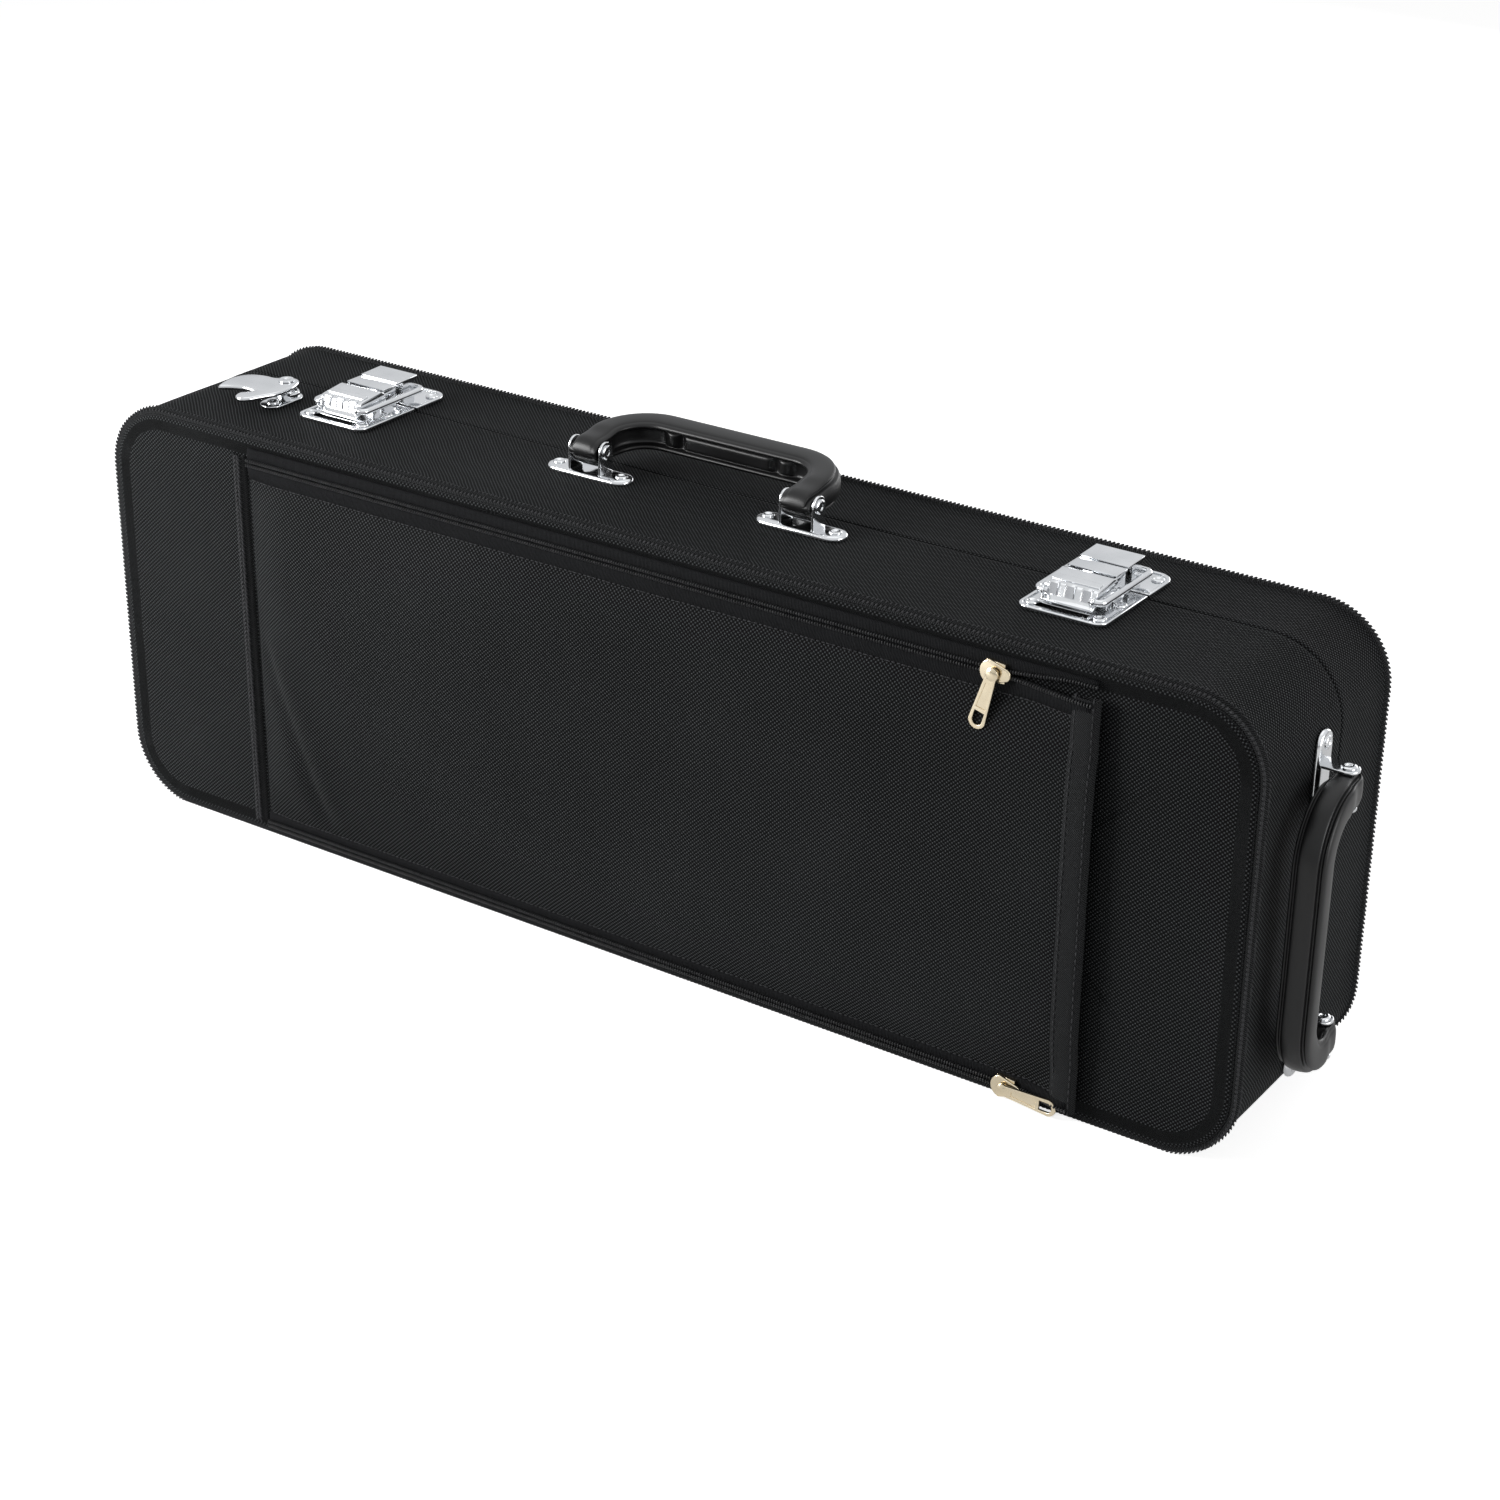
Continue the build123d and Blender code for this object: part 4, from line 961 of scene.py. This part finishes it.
def slope_plate(outline, x, start, end, thick, bevel):
    """A raised panel on a sloping face, centred between two (back, up) points of it."""
    run = Vector((0, end[0] - start[0], end[1] - start[1])).normalized()
    middle = Vector((x, (start[0] + end[0]) / 2, (start[1] + end[1]) / 2)) / 1000 + Vector((0, 0, top))
    return placed(stamping("panel", [outline], thick, bevel), middle, right, Vector(right).cross(run))


def rounded(half_a, half_b, radius):
    """Outline of a rectangle with round corners."""
    a, b = half_a - radius, half_b - radius
    corners = ((a, b, 0), (-a, b, 90), (-a, -b, 180), (a, -b, 270))
    return [point for x, y, turn in corners for point in arc((x, y), radius, turn, turn + 90, 6)]


def bent_wire(points, radius, bend):
    """A round wire along a level path with rounded bends, its ends closed."""
    path = [Vector(points[0])]
    for before, corner, after in zip(points, points[1:], points[2:]):
        corner = Vector(corner)
        enter = (Vector(before) - corner).normalized() * bend
        leave = (Vector(after) - corner).normalized() * bend
        path += [corner + enter * (1 - t / 6) ** 2 + leave * (t / 6) ** 2 for t in range(7)]
    path.append(Vector(points[-1]))
    spots = [(spot.x / 1000, spot.y / 1000, top + spot.z / 1000) for spot in path]
    holder = drawn(
        "wire", [spots], False,
        dimensions="3D", bevel_depth=radius / 1000, bevel_resolution=4, use_fill_caps=True,
    )
    mesh = plain_mesh(holder)
    bpy.data.objects.remove(holder)
    return mesh


def plate_outline(side, x, y, radius, seam_x, seam_y):
    """Outline of a latch's plate: round corners away from the seam and square ones along it."""
    turn = 90 - side * 90
    corners = arc((side * x, y), radius, turn, turn + 90, 8) + arc(
        (-side * x, y), radius, turn + 90, turn + 180, 8,
    )
    return corners + [(-side * seam_x, seam_y), (side * seam_x, seam_y)]


latch_centres = {"left": -224, "right": 224}
lever_pivot = (-4, 9)
bail_height = 8
plate_thick = 1.4
rim_thick = 2.1
base_plate = plate_outline(-1, 17.5, -25, 6, 23.5, 13)
base_inner = plate_outline(-1, 17.3, -24.8, 4.2, 21.5, 11.2)
slot = [(-15.5, -26.4), (12.0, -26.4), (12.0, -21.2), (-15.5, -21.2)]
lug = [(-6.8, 0.7), (-1.2, 0.7)] + arc(lever_pivot, 2.8, 0, 180)
post = [(1.2, 0.7), (11, 0.7), (11, 13), (1.2, 13)]
fixed_cover = [(0.2, 12.8), (11, 12.8), (11, 14), (0.2, 14)]
sheet = arc(lever_pivot, 4.8, 55, 90, 5) + [
    (-17.4, 12.3), (-18.8, 12.0), (-19.8, 11.5), (-20.4, 10.6), (-21.6, 7.0), (-22.6, 5.6), (-24.4, 4.9),
    (-24.2, 3.9), (-22.2, 4.2), (-20.9, 5.2), (-20.1, 6.7), (-19.1, 9.9), (-18.4, 10.7), (-17.2, 11.1),
] + arc(lever_pivot, 3.5, 90, 55, 5)
cheek = [(-4, 13.2), (-18.6, 11.4), (-20.0, 10.4)] + arc((-21.5, 8), 2.7, 60, 270, 10) + [(-4, 4.2)]
cheek += arc(lever_pivot, 4.8, -90, 80, 10)
tooth = [(-17.6, 12.0), (-19.2, 13.1), (-21.0, 12.6), (-22.4, 7.2), (-21.2, 6.6), (-19.8, 9.6)]
bail = ((-11, -21.5), (-17.5, -21.5), (-17.5, 27.5), (17.5, 27.5), (17.5, -21.5), (11, -21.5))
catch_plate = plate_outline(1, 14.5, 34, 9, 23.5, 15)
catch_inner = plate_outline(1, 14.4, 33.9, 7.1, 21.5, 16.8)
catch = [
    (16, 0.8), (16, 13.6), (11.7, 13.6), (11.7, 14.7), (28.2, 15.1), (28.2, 13.8), (25.4, 12.4), (25.4, 0.8),
]
for side, x in latch_centres.items():
    base_parts = [flat_plate([base_plate, slot], x, 0, plate_thick, 0.45)]
    base_parts.append(flat_plate([base_plate, base_inner], x, 0, rim_thick, 0.6))
    for wall in (x - 12.2, x + 10.8):
        base_parts += [profile(outline, wall, wall + 1.4, 0.3) for outline in (lug, post)]
    base_parts.append(profile(fixed_cover, x - 13.2, x + 13.2, 0.35))
    lever_parts = [profile(sheet, x - 14, x + 14, 0.5)]
    lever_parts += [profile(cheek, x + edge, x + edge + 1.3, 0.3) for edge in (-14, 12.7)]
    lever_parts += [profile(tooth, x + shift - 2.7, x + shift + 2.7, 0.7) for shift in (-8.8, 0, 8.8)]
    lever_parts.append(slope_plate(rounded(12.6, 2.4, 0.8), x, (-16.2, 12.35), (-11.2, 12.9), 0.7, 0.3))
    catch_parts = [flat_plate([catch_plate], x, 0, plate_thick, 0.45)]
    catch_parts.append(flat_plate([catch_plate, catch_inner], x, 0, rim_thick, 0.6))
    catch_parts.append(profile(catch, x - 13.2, x + 13.2, 0.4))
    bail_wire = bent_wire([(x + a, b, bail_height) for a, b in bail], 1.75, 3.6)
    pieces = (
        (base_parts, "latch_base", "pressed_base", "base"),
        (lever_parts, "latch_lever", "folded_lever", f"{side}_lever"),
        ([bail_wire], "latch_bail", "bail_wire", f"{side}_bail"),
        (catch_parts, "latch_keeper", "catch", "lid"),
    )
    for meshes, node, name, body in pieces:
        joined(f"{side}_{name}", meshes, chrome, body, f"{side}_{node}")
rod_outline = [(0.2, -14.0), (1.2, -13.9), (1.5, -13.6), (1.5, 13.6), (1.2, 13.9), (0.2, 14.0)]
rod_places = [(x / 1000, lever_pivot[0] / 1000, top + lever_pivot[1] / 1000) for x in latch_centres.values()]
rods = [placed(turned_shape(rod_outline), spot, away, right) for spot in rod_places]
joined("lever_rods", rods, chrome, "base", "latch_pins")
latch_plate = plate_thick / 1000
for name, node, body, rows in (
    ("latch_plate_rivets", "latch_base_rivets", "base", (-24, -4)),
    ("latch_catch_rivets", "latch_keeper_rivets", "lid", (34,)),
):
    across = [(x + end * 18) / 1000 for x in latch_centres.values() for end in (-1, 1)]
    rivets(name, [(x, y / 1000, top + latch_plate) for x in across for y in rows], up, body, node)


# Strap hook: a cast claw, chromed, for the loop of a shoulder strap. It swivels on a stepped boss that stands
# on an oval foot of sheet steel, and a rivet holds the foot to the top of the case
def smooth_path(points, steps=6):
    """A smooth curve through its points."""
    ends = [points[0]] + list(points) + [points[-1]]

    def between(p, q, r, v, t):
        bend = (2 * p - 5 * q + 4 * r - v) * t * t
        return 0.5 * (2 * q + (r - p) * t + bend + (3 * q - p - 3 * r + v) * t ** 3)

    path = []
    for four in zip(ends, ends[1:], ends[2:], ends[3:]):
        for step in range(steps):
            path.append(tuple(between(*values, step / steps) for values in zip(*four)))
    return path


hook_x, hook_y = -272, -10
claw_back = smooth_path([
    (0, 7), (-4.5, 5.8), (-7.0, 2.6), (-10, 0.9), (-16.5, 0.4), (-24.5, -3), (-28.5, -11), (-28, -20),
    (-25.6, -27.4),
])
claw_mouth = smooth_path([(-24.6, -27.2), (-19.5, -23.5), (-12, -20.6), (-4.4, -20.9)])
prong = smooth_path([
    (-3.6, -21.4), (-5.5, -25), (-8.3, -28.6), (-7, -33.5), (-3, -35.5), (1.5, -33.4), (5, -26), (8.2, -18.5),
    (8.8, -11), (8.2, -3), (5, 4.8), (0.6, 6.95),
])
claw = stamping("claw", [claw_back + claw_mouth + prong], 3.0, 1.35)
placed(claw, (hook_x / 1000, hook_y / 1000, top + 0.0066), right, up)
joined("strap_claw", [claw], chrome, "strap_hook", "strap_hook")
boss_outline = [
    (7.0, 1.0), (7.0, 3.4), (6.6, 3.9), (5.7, 4.0), (5.5, 4.3), (5.5, 6.0), (5.1, 6.5), (3.0, 6.5),
    (3.0, 9.7), (4.4, 9.8), (4.4, 10.4), (3.9, 10.9), (2.4, 11.0), (1.8, 10.6), (1.3, 10.1), (0.2, 10.0),
]
foot_outline = arc((0, 7), 7, 0, 180, 12) + arc((0, -7), 7, 180, 360, 12)
hook_foot = flat_plate([foot_outline], -270, -17, 1.4, 0.45)
boss = placed(turned_shape(boss_outline, 32), (hook_x / 1000, hook_y / 1000, top), right, up)
joined("hook_stand", [hook_foot, boss], chrome, "base", "strap_hook_base")
rivets("hook_foot_rivet", [(-0.270, -0.024, top + latch_plate)], up, "base", "strap_hook_rivet")


# Hinges along the bottom of the seam: zinc-plated leaves folded from sheet steel round a pin, and screwed
# to the shells. They are the CAD's own shapes, with its knuckles and countersunk heads
def repaint(nodes, finish):
    """Gives CAD nodes that stay as they are a better finish."""
    for node in nodes:
        for material_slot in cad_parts[node].material_slots:
            material_slot.material = finish


zinc = plated("zinc_plated_steel", (0.36, 0.36, 0.37), (0.55, 0.55, 0.56), (0.28, 0.42), 900.0)
repaint(
    ("base_hinge_leaves", "lid_hinge_leaves", "hinge_pins", "base_hinge_screws", "lid_hinge_screws"), zinc,
)


# Shells and the lip that guides the lid: stiff moulded board, charcoal, with a felt-like pressed surface.
# The covers are glued over the shells, and the lip stands up inside the base's rim
board = Finish("pressed_board")
board_cloud = board.grain(24.0, 4.0)
board_fibre = board.grain(700.0, 3.0)
board_color = board.ramp(
    board_cloud * 0.6 + board_fibre * 0.4, (0.2, (0.014, 0.014, 0.015)), (0.8, (0.040, 0.039, 0.039)),
)
board_relief = board.bump(board_fibre, 0.0003, 0.5)
pressed_board = board.surface(board_color, board_fibre * 0.2 + 0.7, board_relief, 0.12)
repaint(("base_shell", "lid_shell", "base_lip"), pressed_board)


# Fitted inserts of the base and the lid: foam blocks cut out for the instrument and its parts, covered with
# black plush and pushed into the shells. The CAD's blocks are rounded here as padding under cloth
plush = Finish("black_plush")
nap = plush.grain(1300.0)
brushed = plush.grain(26.0, 4.0, 1.2)
plush_color = plush.ramp(
    nap * 0.5 + brushed * 0.5, (0.3, (0.006, 0.006, 0.008)), (0.75, (0.034, 0.034, 0.040)),
)
plush_relief = plush.bump(nap + brushed * 0.8, 0.0005, 0.7)
plush_sheen = {"Sheen Weight": 0.35, "Sheen Roughness": 0.4}
black_plush = (plush.surface(plush_color, nap * 0.1 + 0.85, plush_relief, 0.15, plush_sheen), "plush_lining")
foam_grain = 0.0030
for node, name, body in (("base_insert", "base_plush", "base"), ("lid_insert", "lid_plush", "lid")):
    shape = bmesh.new()
    shape.from_mesh(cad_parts[node].data)
    bmesh.ops.remove_doubles(shape, verts=shape.verts, dist=0.000002)
    foam_block = shown(name, made_mesh(name, shape))
    voxels = foam_block.modifiers.new("voxels", "REMESH")
    voxels.mode = "VOXEL"
    voxels.voxel_size = foam_grain
    relax = foam_block.modifiers.new("relax", "SMOOTH")
    relax.iterations = 5
    relax.factor = 0.5
    made = plain_mesh(foam_block)
    foam_block.modifiers.clear()
    foam_block.data = made
    ways = [vertex.normal.copy() for vertex in made.vertices]
    for vertex, way in zip(made.vertices, ways):
        vertex.co = vertex.co + way * (0.0005 * noise.noise(vertex.co * 38) - 0.0002)
    for face in made.polygons:
        face.use_smooth = True
    settle(foam_block, black_plush, body, node)
